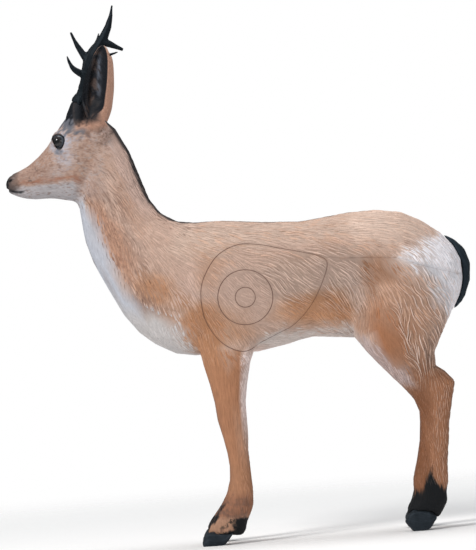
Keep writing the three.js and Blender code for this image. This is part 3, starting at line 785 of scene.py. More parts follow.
    # A blue-grey streak down the rear wall of each ear's hollow: a painted sheen on the black.
    streak = strokes(spot, np.full(len(x), -1.45), 40, 3, 71)
    along_wall = bell(x + 159 - 0.107 * (z - 972), 4.2)
    along_wall *= ramp(z, 906, 930) * ramp(-z, -1008, -984)
    spray("ear_wall_sheen", hollow * along_wall * ramp(streak, 0.2, 0.5))
    spray("ear_inside", ear * ramp(-(x - 0.24 * (z - 900)), 188, 195) * ramp(z, 866, 880))
    spray("ear_rim", 0.8 * ear * ramp(z, 1002, 1012) * ramp(x, -168, -156) * (1 - inside))
    share = colour / 255
    return np.where(share > 0.04045, ((share + 0.055) / 1.055) ** 2.4, share / 12.92)


def within(spot, cx, cz, rx, rz, lean=0.0):
    """1 inside a leaning oval on the side view, falling to 0 outside it."""
    x, y, z = spot.T
    c, s = math.cos(math.radians(lean)), math.sin(math.radians(lean))
    u, v = (x - cx) * c - (z - cz) * s, (x - cx) * s + (z - cz) * c
    return 1 - ramp(np.hypot(u / rx, v / rz), 0.7, 1.25)


def on_haunch(spot):
    """1 on the waved carving behind the thigh, fading to 0 around it."""
    return within(spot, 443, 440, 62, 116, 10)


def boldness(spot):
    """How boldly the hair is carved, from 0 to 1: boldest on flank and haunch, faint on thigh and neck."""
    x, y, z = spot.T
    bold = 0.34 + 0.16 * ramp(z, 560, 610) * ramp(x, -20, 40)
    bold = np.maximum(bold, 0.95 * within(spot, 232, 532, 130, 60, -6))
    bold = np.maximum(bold, 0.9 * within(spot, 292, 486, 46, 64, -10))
    bold = bold * (1 - 0.5 * within(spot, 98, 480, 66, 62)) * (1 - 0.5 * within(spot, 250, 440, 80, 24))
    bold = np.maximum(bold, on_haunch(spot))
    bold = bold * (1 - 0.75 * within(spot, 376, 527, 34, 24))
    bold = bold * (1 - 0.95 * within(spot, 374, 394, 27, 78, -20))
    bold = bold * (1 - 0.55 * ramp(-z, -420, -396) * (x < 345))
    bold = bold * (1 - (0.8 - 0.3 * ramp(-z, -480, -440)) * ramp(in_bib(x, z), -42, -4))
    bold = bold * (1 - 0.4 * ramp(-x, 20, 60))
    head_end = ramp(-x + 0.5 * (z - 800), 110, 165) * ramp(z, 690, 730)
    return np.clip(bold * (0.6 + 0.8 * cloud(spot / 34, 91)) * (1 - 0.85 * head_end), 0, 1.1)


def stored(mesh, name, kind, values):
    """Keeps a value for each vertex of the mesh under that name."""
    field = {"FLOAT": "value", "FLOAT_VECTOR": "vector", "FLOAT_COLOR": "color"}[kind]
    layer = mesh.attributes.new(name, kind, "POINT")
    layer.data.foreach_set(field, np.ascontiguousarray(values).ravel())


def colours_on(mesh, linear):
    """Keeps the paint for each vertex of the mesh."""
    stored(mesh, "paint", "FLOAT_COLOR", np.column_stack([linear, np.ones(len(linear))]))


scored_tree = KDTree(len(scored))
for index, place in enumerate(scored):
    scored_tree.insert(place, index)
scored_tree.balance()


def from_a_groove(points):
    """The distance in millimetres from points in the frame to the nearest scored line."""
    return np.array([scored_tree.find(point)[2] for point in points]) * 1000


GROOVE_BOTTOM_BROWN = np.array([0.150, 0.080, 0.058])
BRUSHED_HIGHLIGHT_TONE = (0.62, 0.47, 0.40, 1)
FOAM_SHINE = 0.2
SHARP_EDGE = math.radians(38)
places, edges = mesh_arrays(casting)
spot = on_the_deer(places)
tint = paint(spot, vertex_normals(casting))
# The bottoms of the scored grooves are made darker brown, unevenly, and less so towards the rear.
nearest = np.array([scored_tree.find(place)[1] for place in places])
sunk = np.sum((scored[nearest] - places) * scored_outward[nearest], axis=1) * 1000
groove_darkening = ramp(sunk, 0.4, 0.75) * (from_a_groove(places) < GROOVE_RADIUS * 1.1)
# The skin is darker where the hair is carved boldly: painted shade in the troughs between the locks, as well
# as the brown the airbrush leaves there.
tint *= 1 - 0.3 * boldness(spot)[:, None]
patchy_share = 0.72 + 0.26 * cloud(spot / 20, 101)
patchy_share = patchy_share - 0.22 * ramp(spot[:, 0], 140, 230) - 0.2 * ramp(spot[:, 0], 268, 276)
groove_darkening = groove_darkening * patchy_share
tint = tint * (1 - 0.9 * groove_darkening[:, None]) + GROOVE_BOTTOM_BROWN * 0.9 * groove_darkening[:, None]
colours_on(casting, tint)
shares = lie_weights(fall_of_hair(spot[:, 0], spot[:, 2]))
stored(casting, "lie_flat", "FLOAT_VECTOR", shares[:, :3])
stored(casting, "lie_steep", "FLOAT_VECTOR", shares[:, 3:])


def add_node(tree, kind, sockets={}, **settings):
    """Adds a node to the tree. Each socket is set to a value, or linked from another node's socket."""
    node = tree.nodes.new(kind)
    for setting, value in settings.items():
        setattr(node, setting, value)
    fill(node, sockets)
    return node


def fill(node, sockets):
    """Sets or links the sockets of a node."""
    for socket, source in sockets.items():
        if isinstance(source, bpy.types.NodeSocket):
            node.id_data.links.new(source, node.inputs[socket])
        else:
            node.inputs[socket].default_value = source


def new_finish(name):
    """A new material: it, its node tree and its shader."""
    material = bpy.data.materials.new(name)
    material.use_nodes = True
    return material, material.node_tree, material.node_tree.nodes["Principled BSDF"]


def layer_value(tree, name, output="Fac"):
    """What the mesh keeps under that name."""
    return add_node(tree, "ShaderNodeAttribute", attribute_name=name).outputs[output]


def maths(tree, operation, *inputs):
    return add_node(tree, "ShaderNodeMath", dict(enumerate(inputs)), operation=operation).outputs[0]


def noise(tree, scale, detail, where=None):
    """Soft noise through the piece, from 0 to 1."""
    where = where or add_node(tree, "ShaderNodeTexCoord").outputs["Object"]
    sockets = {"Scale": scale, "Detail": detail, "Vector": where}
    return add_node(tree, "ShaderNodeTexNoise", sockets).outputs["Fac"]


def mixed(tree, share, first, second):
    """A colour that goes from first to second."""
    sockets = {"Factor": share, "A": first, "B": second}
    return add_node(tree, "ShaderNodeMix", sockets, data_type="RGBA").outputs["Result"]


def bump(tree, height, strength, distance, **under):
    sockets = {"Strength": strength, "Distance": distance, "Height": height, **under}
    return add_node(tree, "ShaderNodeBump", sockets).outputs[0]


def hair_noise(tree):
    """Noise drawn out along the lie of the hair, in six fixed directions, each with its share of the skin."""
    place = add_node(tree, "ShaderNodeTexCoord").outputs["Object"]
    total = 0.0
    for first, layer in ((0, "lie_flat"), (3, "lie_steep")):
        split = add_node(tree, "ShaderNodeSeparateXYZ", {0: layer_value(tree, layer, "Vector")})
        for k in range(3):
            rotation = (0, -math.radians(30 * (k + first)), 0)
            turn = add_node(tree, "ShaderNodeMapping", {"Rotation": rotation, "Vector": place})
            draw = add_node(tree, "ShaderNodeMapping", {"Scale": (45, 330, 330), "Vector": turn.outputs[0]})
            total = maths(tree, "MULTIPLY_ADD", noise(tree, 1.0, 2, draw.outputs[0]), split.outputs[k], total)
    return total


def painted_foam(name, ridged):
    """Sprayed foam: the paint with its hair streaks, a fine foam grain, and a dull sheen. On the locks,
    painted shade darkens each lock down its sides and a dry-brushed, painted highlight pales its crest.
    """
    material, tree, shader = new_finish(name)
    grain = noise(tree, 900, 2)
    coat_colour = layer_value(tree, "paint", "Color")
    under = {}
    if ridged:
        rise = layer_value(tree, "rise")
        below = maths(tree, "MULTIPLY", maths(tree, "SUBTRACT", 0.86, rise), layer_value(tree, "shade"))
        light = maths(tree, "MULTIPLY", maths(tree, "SUBTRACT", 1.04, below), layer_value(tree, "tone"))
        crest = maths(tree, "MULTIPLY", maths(tree, "MAXIMUM", rise, 0.0), layer_value(tree, "brushed_highlight"))
        coat_colour = mixed(tree, crest, coat_colour, BRUSHED_HIGHLIGHT_TONE)
    else:
        hair = hair_noise(tree)
        light = maths(tree, "MULTIPLY_ADD", hair, 0.6, 0.62)
        under["Normal"] = bump(tree, hair, 0.9, 0.0022)
    blotch = noise(tree, 60, 4)
    light = maths(tree, "MULTIPLY", light, maths(tree, "MULTIPLY_ADD", blotch, 0.22, 0.89))
    light = maths(tree, "MULTIPLY", light, maths(tree, "MULTIPLY_ADD", grain, 0.16, 0.92))
    tint = add_node(tree, "ShaderNodeVectorMath", {0: coat_colour, "Scale": light}, operation="SCALE")
    fill(shader, {
        "Base Color": tint.outputs[0], "Roughness": maths(tree, "MULTIPLY_ADD", grain, 0.2, 0.52),
        "Specular IOR Level": FOAM_SHINE, "Normal": bump(tree, grain, 0.5, 0.0004, **under),
    })
    return material


casting.materials.clear()
casting.materials.append(painted_foam("painted_foam", False))
for polygon in casting.polygons:
    polygon.material_index = 0
casting.shade_smooth()
casting.set_sharp_from_angle(angle=SHARP_EDGE)
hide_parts(*FLESH, *EARS)
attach(skin, "root")

# ---- The moulded coat ----
# The winter hair is carved into the mould as low overlapping strokes, so each lock is a closed ridge of the
# same foam, rooted in the skin and lying along the body. It is boldest on the flank and waved on the haunch.
LOCK_STEPS = 7
STROKE_PROFILE = ((1.0, -0.12), (0.55, 0.86), (-0.55, 0.86), (-1.0, -0.12), (0.0, -0.55))
ROOTED = 0.00025
KEPT_CLEAR = 1.9
CROWDING_CELL = 14.0
PATCH = 0.003
PATTERN_THINNING = 0.06
PATTERN_SCALE = 0.994
ISLAND_ANGLE = math.radians(66)
ISLAND_GAP = 0.004

profile_mesh = bpy.data.meshes.new("stroke_profile")
corners = len(STROKE_PROFILE)
profile_mesh.from_pydata([(side, rise, 0) for side, rise in STROKE_PROFILE],
                         [(k, (k + 1) % corners) for k in range(corners)], [])
stored(profile_mesh, "side", "FLOAT", [side for side, rise in STROKE_PROFILE])
stored(profile_mesh, "rise", "FLOAT", [rise for side, rise in STROKE_PROFILE])
stored(profile_mesh, "around", "FLOAT", [k / corners for k in range(corners)])
profile = new_piece("stroke_profile", profile_mesh)
coat_material = painted_foam("painted_coat", True)


def lofting_tree():
    """Lofts each centre line into a closed, tapered ridge on the skin."""
    tree = bpy.data.node_groups.new("moulded_locks", "GeometryNodeTree")
    face = tree.interface
    face.new_socket("Geometry", in_out="INPUT", socket_type="NodeSocketGeometry")
    sockets = {}
    for name, kind in (("Profile", "Object"), ("Spread", "Float"), ("Ridge", "Float"), ("Patch", "Float"),
                       ("Material", "Material")):
        socket = face.new_socket(name, in_out="INPUT", socket_type="NodeSocket" + kind)
        sockets[name] = socket.identifier
    face.new_socket("Geometry", in_out="OUTPUT", socket_type="NodeSocketGeometry")
    given = tree.nodes.new("NodeGroupInput").outputs

    def geometry(kind, sockets, **settings):
        return add_node(tree, "GeometryNode" + kind, sockets, **settings)

    def named(name, kind="FLOAT"):
        return geometry("InputNamedAttribute", {"Name": name}, data_type=kind).outputs["Attribute"]

    def times(product, *factors):
        for factor in factors:
            product = maths(tree, "MULTIPLY", product, factor)
        return product

    def vector_maths(operation, sockets):
        return add_node(tree, "ShaderNodeVectorMath", sockets, operation=operation).outputs[0]

    def scaled(vector, factor):
        return vector_maths("SCALE", {0: vector, "Scale": factor})

    def summed(first, second):
        return vector_maths("ADD", {0: first, 1: second})

    lines = geometry("MeshToCurve", {"Mesh": given["Geometry"]})
    shape = geometry("ObjectInfo", {"Object": given["Profile"]})
    outline = geometry("MeshToCurve", {"Mesh": shape.outputs["Geometry"]})
    loft = geometry("CurveToMesh", {
        "Curve": lines.outputs["Curve"], "Profile Curve": outline.outputs["Curve"], "Fill Caps": True})
    sideways = times(named("side"), named("half_width"), given["Spread"])
    upwards = times(named("rise"), named("height"), given["Ridge"])
    off_centre = summed(scaled(named("across", "FLOAT_VECTOR"), sideways),
                        scaled(named("outward", "FLOAT_VECTOR"), upwards))
    place = summed(named("centre", "FLOAT_VECTOR"), off_centre)
    shaped = geometry("SetPosition", {"Geometry": loft.outputs["Mesh"], "Position": place})
    spot_on_patch = add_node(tree, "ShaderNodeCombineXYZ", {
        "X": times(named("around"), given["Patch"]), "Y": times(named("run"), given["Patch"])})
    unwrapped_place = summed(named("root_patch", "FLOAT_VECTOR"), spot_on_patch.outputs[0])
    mapped = geometry("StoreNamedAttribute", {
        "Name": "OFBake", "Geometry": shaped.outputs[0], "Value": unwrapped_place},
        data_type="FLOAT2", domain="CORNER")
    smooth = geometry("SetShadeSmooth", {"Geometry": mapped.outputs[0]})
    real = geometry("RealizeInstances", {"Geometry": smooth.outputs[0]})
    finish = geometry("SetMaterial", {"Geometry": real.outputs[0], "Material": given["Material"]})
    tree.links.new(finish.outputs[0], tree.nodes.new("NodeGroupOutput").inputs[0])
    return tree, sockets


locks_tree, locks_sockets = lofting_tree()
surface = BVHTree.FromObject(skin, bpy.context.evaluated_depsgraph_get())


def triangle_corners(mesh, kind):
    """The three vertices, or the three loops, of each triangle of the mesh."""
    mesh.calc_loop_triangles()
    corners = np.empty(len(mesh.loop_triangles) * 3, dtype=np.int64)
    mesh.loop_triangles.foreach_get(kind, corners)
    return corners.reshape(-1, 3)


def skin_spots(count, seed, chosen):
    """Evenly random places on the skin's faces, kept where chosen() says so. Returns frame points."""
    triangles = mesh_arrays(skin.data)[0][triangle_corners(skin.data, "vertices")]
    first, second, third = triangles.transpose(1, 0, 2)
    area = np.linalg.norm(np.cross(second - first, third - first), axis=1)
    draw = np.random.default_rng(seed)
    pick = np.searchsorted(np.cumsum(area) / area.sum(), draw.random(count))
    a, b = draw.random((2, count, 1))
    a, b = np.where(a + b > 1, 1 - a, a), np.where(a + b > 1, 1 - b, b)
    found = first[pick] * (1 - a - b) + second[pick] * a + third[pick] * b
    return found[chosen(on_the_deer(found))]


def directions(points, normals, wave, seed):
    """The lie at points in the frame, in the skin's own plane, with a shared wave of that many degrees."""
    spot = on_the_deer(points)
    angle = fall_of_hair(spot[:, 0], spot[:, 2])
    bend = (cloud(spot / 30, seed) + cloud(spot / 14, seed + 1) - 1) * 2
    angle = np.where(on_ears(spot) > 0.5, -1.45, angle + np.radians(wave) * bend)
    along = np.column_stack([np.cos(angle), np.zeros(len(angle)), -np.sin(angle)])
    return unit(along - normals * np.sum(along * normals, axis=1)[:, None])


def on_skin(points):
    """The nearest places on the skin and the outward normals there."""
    found = [surface.find_nearest(point) for point in points]
    return np.array([f[0] for f in found]), np.array([f[1] for f in found])


def thinned(spots, along, across, gaps_along, gaps_across, cell):
    """Keeps the spots, in turn, that no kept spot crowds: a long gap along the lie, a short one across it."""
    grid, kept = {}, []
    keys = np.floor(spots / cell).astype(int).tolist()
    near = [(i, j, k) for i in (-1, 0, 1) for j in (-1, 0, 1) for k in (-1, 0, 1)]
    listed, run, slide = spots.tolist(), along.tolist(), across.tolist()
    for index, (kx, ky, kz) in enumerate(keys):
        px, py, pz = listed[index]
        ax, ay, az = run[index]
        cx, cy, cz = slide[index]
        limit_along, limit_across = gaps_along[index], gaps_across[index]
        crowded = False
        for i, j, k in near:
            for other in grid.get((kx + i, ky + j, kz + k), ()):
                qx, qy, qz = listed[other]
                dx, dy, dz = qx - px, qy - py, qz - pz
                u = (dx * ax + dy * ay + dz * az) / limit_along
                v = (dx * cx + dy * cy + dz * cz) / limit_across
                if u * u + v * v < 1 and dx * dx + dy * dy + dz * dz < limit_along**2:
                    crowded = True
                    break
            if crowded:
                break
        if not crowded:
            kept.append(index)
            grid.setdefault((kx, ky, kz), []).append(index)
    return np.array(kept)


def lay_locks(name, seed, candidates, chosen, length, half_width, height, gaps, wave, brushed_highlight, shade, dye_and_shade,
              steps=LOCK_STEPS):
    """Traces the locks along the lie from their roots and lofts them. Measures are functions of the spot."""
    # roots, not too crowded, and the size, tone, painted shade and painted highlight of each lock
    roots, normals = on_skin(skin_spots(candidates, seed, chosen))
    spot = on_the_deer(roots)
    bends = wave(spot)
    along = directions(roots, normals, bends, 7)
    across = np.cross(normals, along)
    reaches, halves, heights = length(spot), half_width(spot), height(spot)
    apart = halves * 2 * gaps[1] * (1 + 0.35 * on_haunch(spot))
    keep = thinned(spot, along, across, reaches * gaps[0], apart, CROWDING_CELL)
    roots, normals, spot, bends = roots[keep], normals[keep], spot[keep], bends[keep]
    dark, bright = shade(spot), brushed_highlight(spot)
    draw = np.random.default_rng(seed + 1)
    count = len(keep)
    reaches = reaches[keep] * draw.uniform(0.75, 1.25, count)
    halves = halves[keep] * draw.uniform(0.75, 1.25, count)
    heights = heights[keep] * draw.uniform(0.7, 1.3, count)
    tone = draw.normal(1.0, 0.06, count).clip(0.84, 1.16) * dye_and_shade(spot)
    highlight_share = bright * draw.uniform(0.5, 1.1, count)

    # traced over the skin, and cut short before a scored line
    lines, outs = [roots], [normals]
    for turn in range(steps - 1):
        course = directions(lines[-1], outs[-1], bends, 7)
        ahead, out = on_skin(lines[-1] + course * (reaches / (steps - 1) / 1000)[:, None])
        lines.append(ahead)
        outs.append(out)
    lines, outs = np.stack(lines, axis=1), np.stack(outs, axis=1)
    thirds = np.linspace(0, steps - 1, 3 * steps - 2)
    start = np.minimum(thirds.astype(int), steps - 2)
    share = (thirds - start)[None, :, None]
    fine_lines = lines[:, start] * (1 - share) + lines[:, start + 1] * share
    fine_gap = from_a_groove(fine_lines.reshape(-1, 3)).reshape(count, len(thirds))
    blocked = fine_gap < KEPT_CLEAR
    free = np.where(blocked.any(axis=1), blocked.argmax(axis=1) - 1, len(thirds) - 1) / 3
    gap = np.minimum(fine_gap, np.minimum(np.roll(fine_gap, 1, 1), np.roll(fine_gap, -1, 1)))[:, ::3]
    keep = free >= 1.3
    lines, outs, gap, free, halves, heights, tone, highlight_share, dark, spot = (
        item[keep] for item in (lines, outs, gap, free, halves, heights, tone, highlight_share, dark, spot))
    count = len(lines)

    # the centre line, width and height of each lock, tapered at both ends
    reach = np.linspace(0, 1, steps)
    position = reach[None, :] * free[:, None]
    lower = np.minimum(position.astype(int), steps - 2)
    part = (position - lower)[..., None]
    rows = np.arange(count)[:, None]
    centre = lines[rows, lower] * (1 - part) + lines[rows, lower + 1] * part
    outward = unit(outs[rows, lower] * (1 - part) + outs[rows, lower + 1] * part)
    gap = gap[rows, lower] * (1 - part[..., 0]) + gap[rows, lower + 1] * part[..., 0]
    across = unit(np.cross(outward, np.gradient(centre, axis=1)))
    shortened = (free / (steps - 1))[:, None]
    taper = np.sin(np.pi * (reach * 0.94 + 0.03) ** 0.8)[None, :]
    width = np.minimum(halves[:, None] * taper**0.75 * np.sqrt(shortened), np.maximum(gap - 1.3, 0.2))
    swell = heights[:, None] * taper * np.sqrt(shortened)
    centre = centre - outward * ROOTED * (1 - taper)[..., None]

    # kept on a mesh of centre lines, and lofted from there
    mesh = bpy.data.meshes.new(name)
    first = np.arange(count * steps).reshape(count, steps)
    links = np.stack([first[:, :-1], first[:, 1:]], axis=2).reshape(-1, 2)
    mesh.vertices.add(count * steps)
    mesh.vertices.foreach_set("co", centre.ravel())
    mesh.edges.add(len(links))
    mesh.edges.foreach_set("vertices", links.ravel())
    spread_out = lambda values: np.repeat(values, steps, axis=0)
    patches = np.column_stack([unwrapped(spot), np.zeros(count)])
    vectors = {"centre": centre, "outward": outward, "across": across, "root_patch": spread_out(patches)}
    numbers = {"half_width": width / 1000, "height": swell / 1000, "run": np.tile(reach, count),
               "tone": spread_out(tone), "brushed_highlight": spread_out(highlight_share), "shade": spread_out(dark)}
    for kind, layers in (("FLOAT_VECTOR", vectors), ("FLOAT", numbers)):
        for layer, values in layers.items():
            stored(mesh, layer, kind, values)
    colours_on(mesh, paint(on_the_deer(centre.reshape(-1, 3)), outward.reshape(-1, 3)))
    locks = new_piece(name, mesh)
    loft = locks.modifiers.new("lofted", "NODES")
    loft.node_group = locks_tree
    for socket, given in (("Profile", profile), ("Spread", 1.0), ("Ridge", 1.0), ("Patch", PATCH),
                          ("Material", coat_material)):
        loft[locks_sockets[socket]] = given
    laid = with_modifiers(locks)
    for spare in (*vectors, "half_width", "height", "run", "side", "around"):
        if spare in laid.attributes:
            laid.attributes.remove(laid.attributes[spare])
    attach(locks, "root")


# The skin laid flat, which says where on the map each lock keeps its own small patch.
flattened = new_piece("flattened", skin.data.copy())
coarse = flattened.modifiers.new("coarse", "DECIMATE")
coarse.ratio = PATTERN_THINNING
pattern = with_modifiers(flattened)
for other in bpy.context.selected_objects:
    other.select_set(False)
bpy.context.view_layer.objects.active = flattened
flattened.select_set(True)
bpy.ops.object.mode_set(mode="EDIT")
bpy.ops.mesh.select_all(action="SELECT")
bpy.ops.uv.smart_project(angle_limit=ISLAND_ANGLE, island_margin=ISLAND_GAP)
bpy.ops.object.mode_set(mode="OBJECT")
pattern_corners = triangle_corners(pattern, "vertices")
pattern_map = np.empty(len(pattern.loops) * 2)
pattern.uv_layers.active.data.foreach_get("uv", pattern_map)
pattern_map = pattern_map.reshape(-1, 2)[triangle_corners(pattern, "loops")]
pattern_places = mesh_arrays(pattern)[0]
pattern_tree = BVHTree.FromPolygons(pattern_places.tolist(), pattern_corners.tolist())
bpy.data.objects.remove(flattened)


def unwrapped(spot):
    """Where each place on the deer falls on the flattened skin, from 0 to 1 both ways."""
    found = [pattern_tree.find_nearest(point) for point in in_the_frame(spot).tolist()]
    face = np.array([f[2] for f in found])
    a, b, c = (pattern_places[pattern_corners[face, k]] for k in range(3))
    place = np.array([f[0] for f in found])
    first, second, arm = b - a, c - a, place - a
    d11, d12, d22 = (first * first).sum(1), (first * second).sum(1), (second * second).sum(1)
    e1, e2 = (arm * first).sum(1), (arm * second).sum(1)
    spread = np.maximum(d11 * d22 - d12 * d12, 1e-18)
    v, w = (d22 * e1 - d12 * e2) / spread, (d11 * e2 - d12 * e1) / spread
    shares = np.clip(np.stack([1 - v - w, v, w], axis=1), 0, 1)
    return (pattern_map[face] * shares[..., None]).sum(axis=1) * PATTERN_SCALE


def sized(base, bolder=0.0, waved=0.0, bold=boldness):
    """A measure of the locks: its base, with more where they are carved boldly and more on the haunch."""
    return lambda spot: base + bolder * bold(spot) + waved * on_haunch(spot)


def on_neck(spot):
    x, y, z = spot.T
    return (x < -10) & (z > 560 - 0.3 * (x + 10)) & ((x > -205) | (z < 700)) & (z < 880) & (
        (x > -182 - 0.5 * (z - 760)) | (z < 715)) & (on_ears(spot) < 0.1)


def on_breast(spot):
    x, y, z = spot.T
    return (x < -10) & (z <= 560 - 0.3 * (x + 10)) & (z > 372)


def on_barrel(spot):
    x, y, z = spot.T
    return (x >= -10) & (x < 330) & (z > 376)


def on_quarter(spot):
    x, y, z = spot.T
    return (x >= 330) & (z > 300)


def on_legs(spot):
    x, y, z = spot.T
    return ((x < 150) & (z < 376) & (z > 60)) | ((x > 330) & (z <= 300) & (z > 96))


def dry_brushed_highlight(spot):
    """How much paler the crests of the long locks are painted, a dry-brushed highlight that stands in for
    light on the ridges, least on the neck.
    """
    return (0.1 + 0.62 * boldness(spot) + 0.35 * on_haunch(spot)) * (1 - 0.6 * ramp(-spot[:, 0], 0, 60))


layers = (
    ("coat_neck", 21, on_neck, 0),
    ("coat_breast", 31, on_breast, 0),
    ("coat_barrel_left", 41, on_barrel, -1),
    ("coat_barrel_right", 51, on_barrel, 1),
    ("coat_quarter_left", 61, on_quarter, -1),
    ("coat_quarter_right", 71, on_quarter, 1),
)
for name, seed, where, side in layers:
    chosen = lambda spot: where(spot) & (spot[:, 1] * side >= 0) & (boldness(spot) > 0.09)
    # The under locks are darkened where the carving is bold, as painted shade beneath the long locks.
    lay_locks(name + "_under", seed, 26000, chosen, length=sized(30), half_width=sized(2.0, 1.0),
              height=sized(0.2, 0.6), gaps=(0.6, 0.9), wave=sized(14), brushed_highlight=sized(0),
              shade=sized(0.03, 0.12), dye_and_shade=sized(1, -0.3))
    lay_locks(name + "_over", seed + 5, 46000, chosen, length=sized(20, 12, 4), half_width=sized(0.75, 0.6),
              height=sized(0.2, 1.8, 0.3), gaps=(0.62, 1.75), wave=sized(18, 0, 10), brushed_highlight=dry_brushed_highlight,
              shade=sized(0.04, 0.36), dye_and_shade=sized(1.02))


def leg_boldness(spot):
    """Faint on the forelegs and down the front of the hind ones, furry behind the hind cannons."""
    x, y, z = spot.T
    hind = ramp(x, 300, 330)
    behind_hind = ramp(x - 0.06 * (z - 200), 446, 464)
    return hind * (0.16 + 0.45 * behind_hind) + (1 - hind) * 0.2 * ramp(x - 0.06 * z, 48, 66)


def leg_sized(base, bolder):
    """A measure of the locks on the legs, which have a boldness of their own."""
    return sized(base, bolder, bold=leg_boldness)


lay_locks("coat_legs", 81, 60000, lambda spot: on_legs(spot) & (leg_boldness(spot) > 0.05),
          length=leg_sized(13, 7), half_width=leg_sized(0.6, 0.8), height=leg_sized(0.1, 1.3),
          gaps=(0.7, 1.7), wave=sized(12), brushed_highlight=leg_sized(0, 0.7), shade=leg_sized(0.05, 0.35),
          dye_and_shade=sized(1), steps=5)


def dark_strokes(spot):
    """Where thin dark strokes are painted in: at the bib's edge, low on the neck and over the withers."""
    x, y, z = spot.T
    outside = -in_bib(x, z)
    fringe = (np.abs(outside - 13) < 12) & (cloud(spot / 13, 99) > 0.46)
    scattered = (outside > 10) & (outside < 110) & (x < -45) & (cloud(spot / 17, 97) > 0.64)
    withers = within(spot, -36, 648, 50, 18, 28) > 0.3
    return ((fringe | scattered) & (z > 480) & (z < 728) | withers) & (np.abs(y) > 6) & (x < 30)


lay_locks("coat_dark_strokes", 91, 30000, dark_strokes, length=sized(17), half_width=sized(0.7),
          height=sized(0.5), gaps=(0.8, 4.2), wave=sized(14), brushed_highlight=sized(0), shade=sized(0.05),
          dye_and_shade=sized(0.6), steps=6)
bpy.data.objects.remove(profile)

# ---- Glass eyes ----
# Ready-made dark glass eyes pressed into the foam sockets: a ball with a slightly raised clear front, a wide
# black pupil and a dark brown ring, polished. Each replaces the plain ball of the solids.
GAZE = (-0.38, 0.92, 0.02)
BALL_GAP = 0.1
FRONT_BULGE = 0.7
# The last, pale blue-grey stop rings the edge of the eye as a painted reflection.
IRIS = ((0.50, (0.004, 0.004, 0.005, 1)), (0.56, (0.026, 0.021, 0.020, 1)), (0.92, (0.014, 0.015, 0.019, 1)),
        (1.0, (0.085, 0.100, 0.120, 1)))


def glass_eye(side, name):
    """A ball with a bulged front, looking out to its side and a little forward."""
    centre = EYE_CENTRE * [1, side, 1]
    look = unit(np.array(GAZE) * [1, side, 1])
    radius = EYE_RADIUS - BALL_GAP
    ball = bmesh.new()
    bmesh.ops.create_icosphere(ball, subdivisions=5, radius=radius)
    for vertex in ball.verts:
        out = np.array(vertex.co) / radius
        front = float(ramp(np.array(out @ look), 0.72, 1.0))
        vertex.co = Vector(in_the_frame(centre + out * (radius + FRONT_BULGE * front)))
    mesh = as_mesh(name, ball)
    places = on_the_deer(mesh_arrays(mesh)[0]) - centre
    turn = np.arccos(np.clip(places @ look / np.linalg.norm(places, axis=1), -1, 1))
    stored(mesh, "from_pupil", "FLOAT", turn)
    return new_piece(name, mesh)


def polished_glass():
    """Dark glass: a black pupil, a dark ring with faint fibres, and a pale blue-grey line round its edge,
    which is a painted reflection.
    """
    material, tree, shader = new_finish("polished_eye_glass")
    fibres = noise(tree, 900, 3)
    shifted = maths(tree, "MULTIPLY_ADD", fibres, 0.16, layer_value(tree, "from_pupil"))
    ring = add_node(tree, "ShaderNodeValToRGB", {"Fac": shifted})
    stops = ring.color_ramp.elements
    stops.remove(stops[1])
    stops[0].position, stops[0].color = IRIS[0]
    for position, colour in IRIS[1:]:
        stops.new(position).color = colour
    fill(shader, {
        "Base Color": ring.outputs["Color"], "Roughness": 0.08, "Specular IOR Level": 0.45,
        "Normal": bump(tree, fibres, 0.04, 0.0002),
    })
    return material


eye_glass = polished_glass()
for side, name in ((-1, "eye_left"), (1, "eye_right")):
    eye = glass_eye(side, "glass_" + name)
    eye.data.materials.append(eye_glass)
    eye.data.shade_smooth()
    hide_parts(name)
    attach(eye, "root")

# ---- Antlers ----
# Two black rubber antlers with three points each, moulded with their burrs and plugged into the crown. They
# are round and a little pearled low down: beam and tines are fused, and their facets eased away.
ANTLER_GRAIN = 0.0011
ANTLER_GROWTH = 0.0011
OFF_THE_GROUND = 0.0002
RUBBER_SHINE = 0.22
RUBBER_TINT = (0.65, 0.82, 1.0, 1)
CORONET_TAN = (0.40, 0.23, 0.15, 1)


def eased_casting(name, nodes, grain, growth, easing, rounds):
    """A smooth casting in the shape of these solids."""
    piece = new_piece(name, fused_copy(nodes, growth))
    mesh = recast(piece, grain)
    places, edges = mesh_arrays(mesh)
    moved(mesh, eased(places, edges, np.full(len(places), easing), rounds))
    mesh.materials.clear()
    mesh.shade_smooth()
    return piece


def pushed_out(piece, relief):
    """Moves the piece's surface out by relief(spot), in millimetres."""
    mesh = piece.data
    places = mesh_arrays(mesh)[0]
    places = places + vertex_normals(mesh) * relief(on_the_deer(places))[:, None] / 1000
    places[:, 2] = np.maximum(places[:, 2], OFF_THE_GROUND)
    moved(mesh, places)


def pearls(spot):
    """Beads and gutters that run up the beam, strongest at the burr and gone from the tips."""
    x, y, z = spot.T
    low_down = ramp(-z, -1020, -915)
    beads = ramp(cloud(spot / [3.4, 3.4, 4.6], 201), 0.5, 0.8)
    gutters = cloud(spot / [2.6, 2.6, 30], 203) - 0.5
    burr = bell(z - 906, 6)
    return low_down * (0.7 * beads + 0.8 * gutters) + 0.5 * burr * beads + 0.35 * gutters


def narrowed_tips(piece, parts):
    """Draws each point in towards its tip, so that it ends as slim as the moulded ones."""
    tips = []
    for part in parts:
        places = on_the_deer(mesh_arrays(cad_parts[part].data)[0])
        tips.append(places[places[:, 0 if "rear" in part else 2].argmax()])

    def slimmed(spot):
        reach = np.min([np.linalg.norm(spot - tip, axis=1) for tip in tips], axis=0)
        return -1.5 * ramp(-reach, -38, 0) - 1.1 * ramp(-reach, -100, -55) * ramp(reach, 3, 22)

    pushed_out(piece, slimmed)


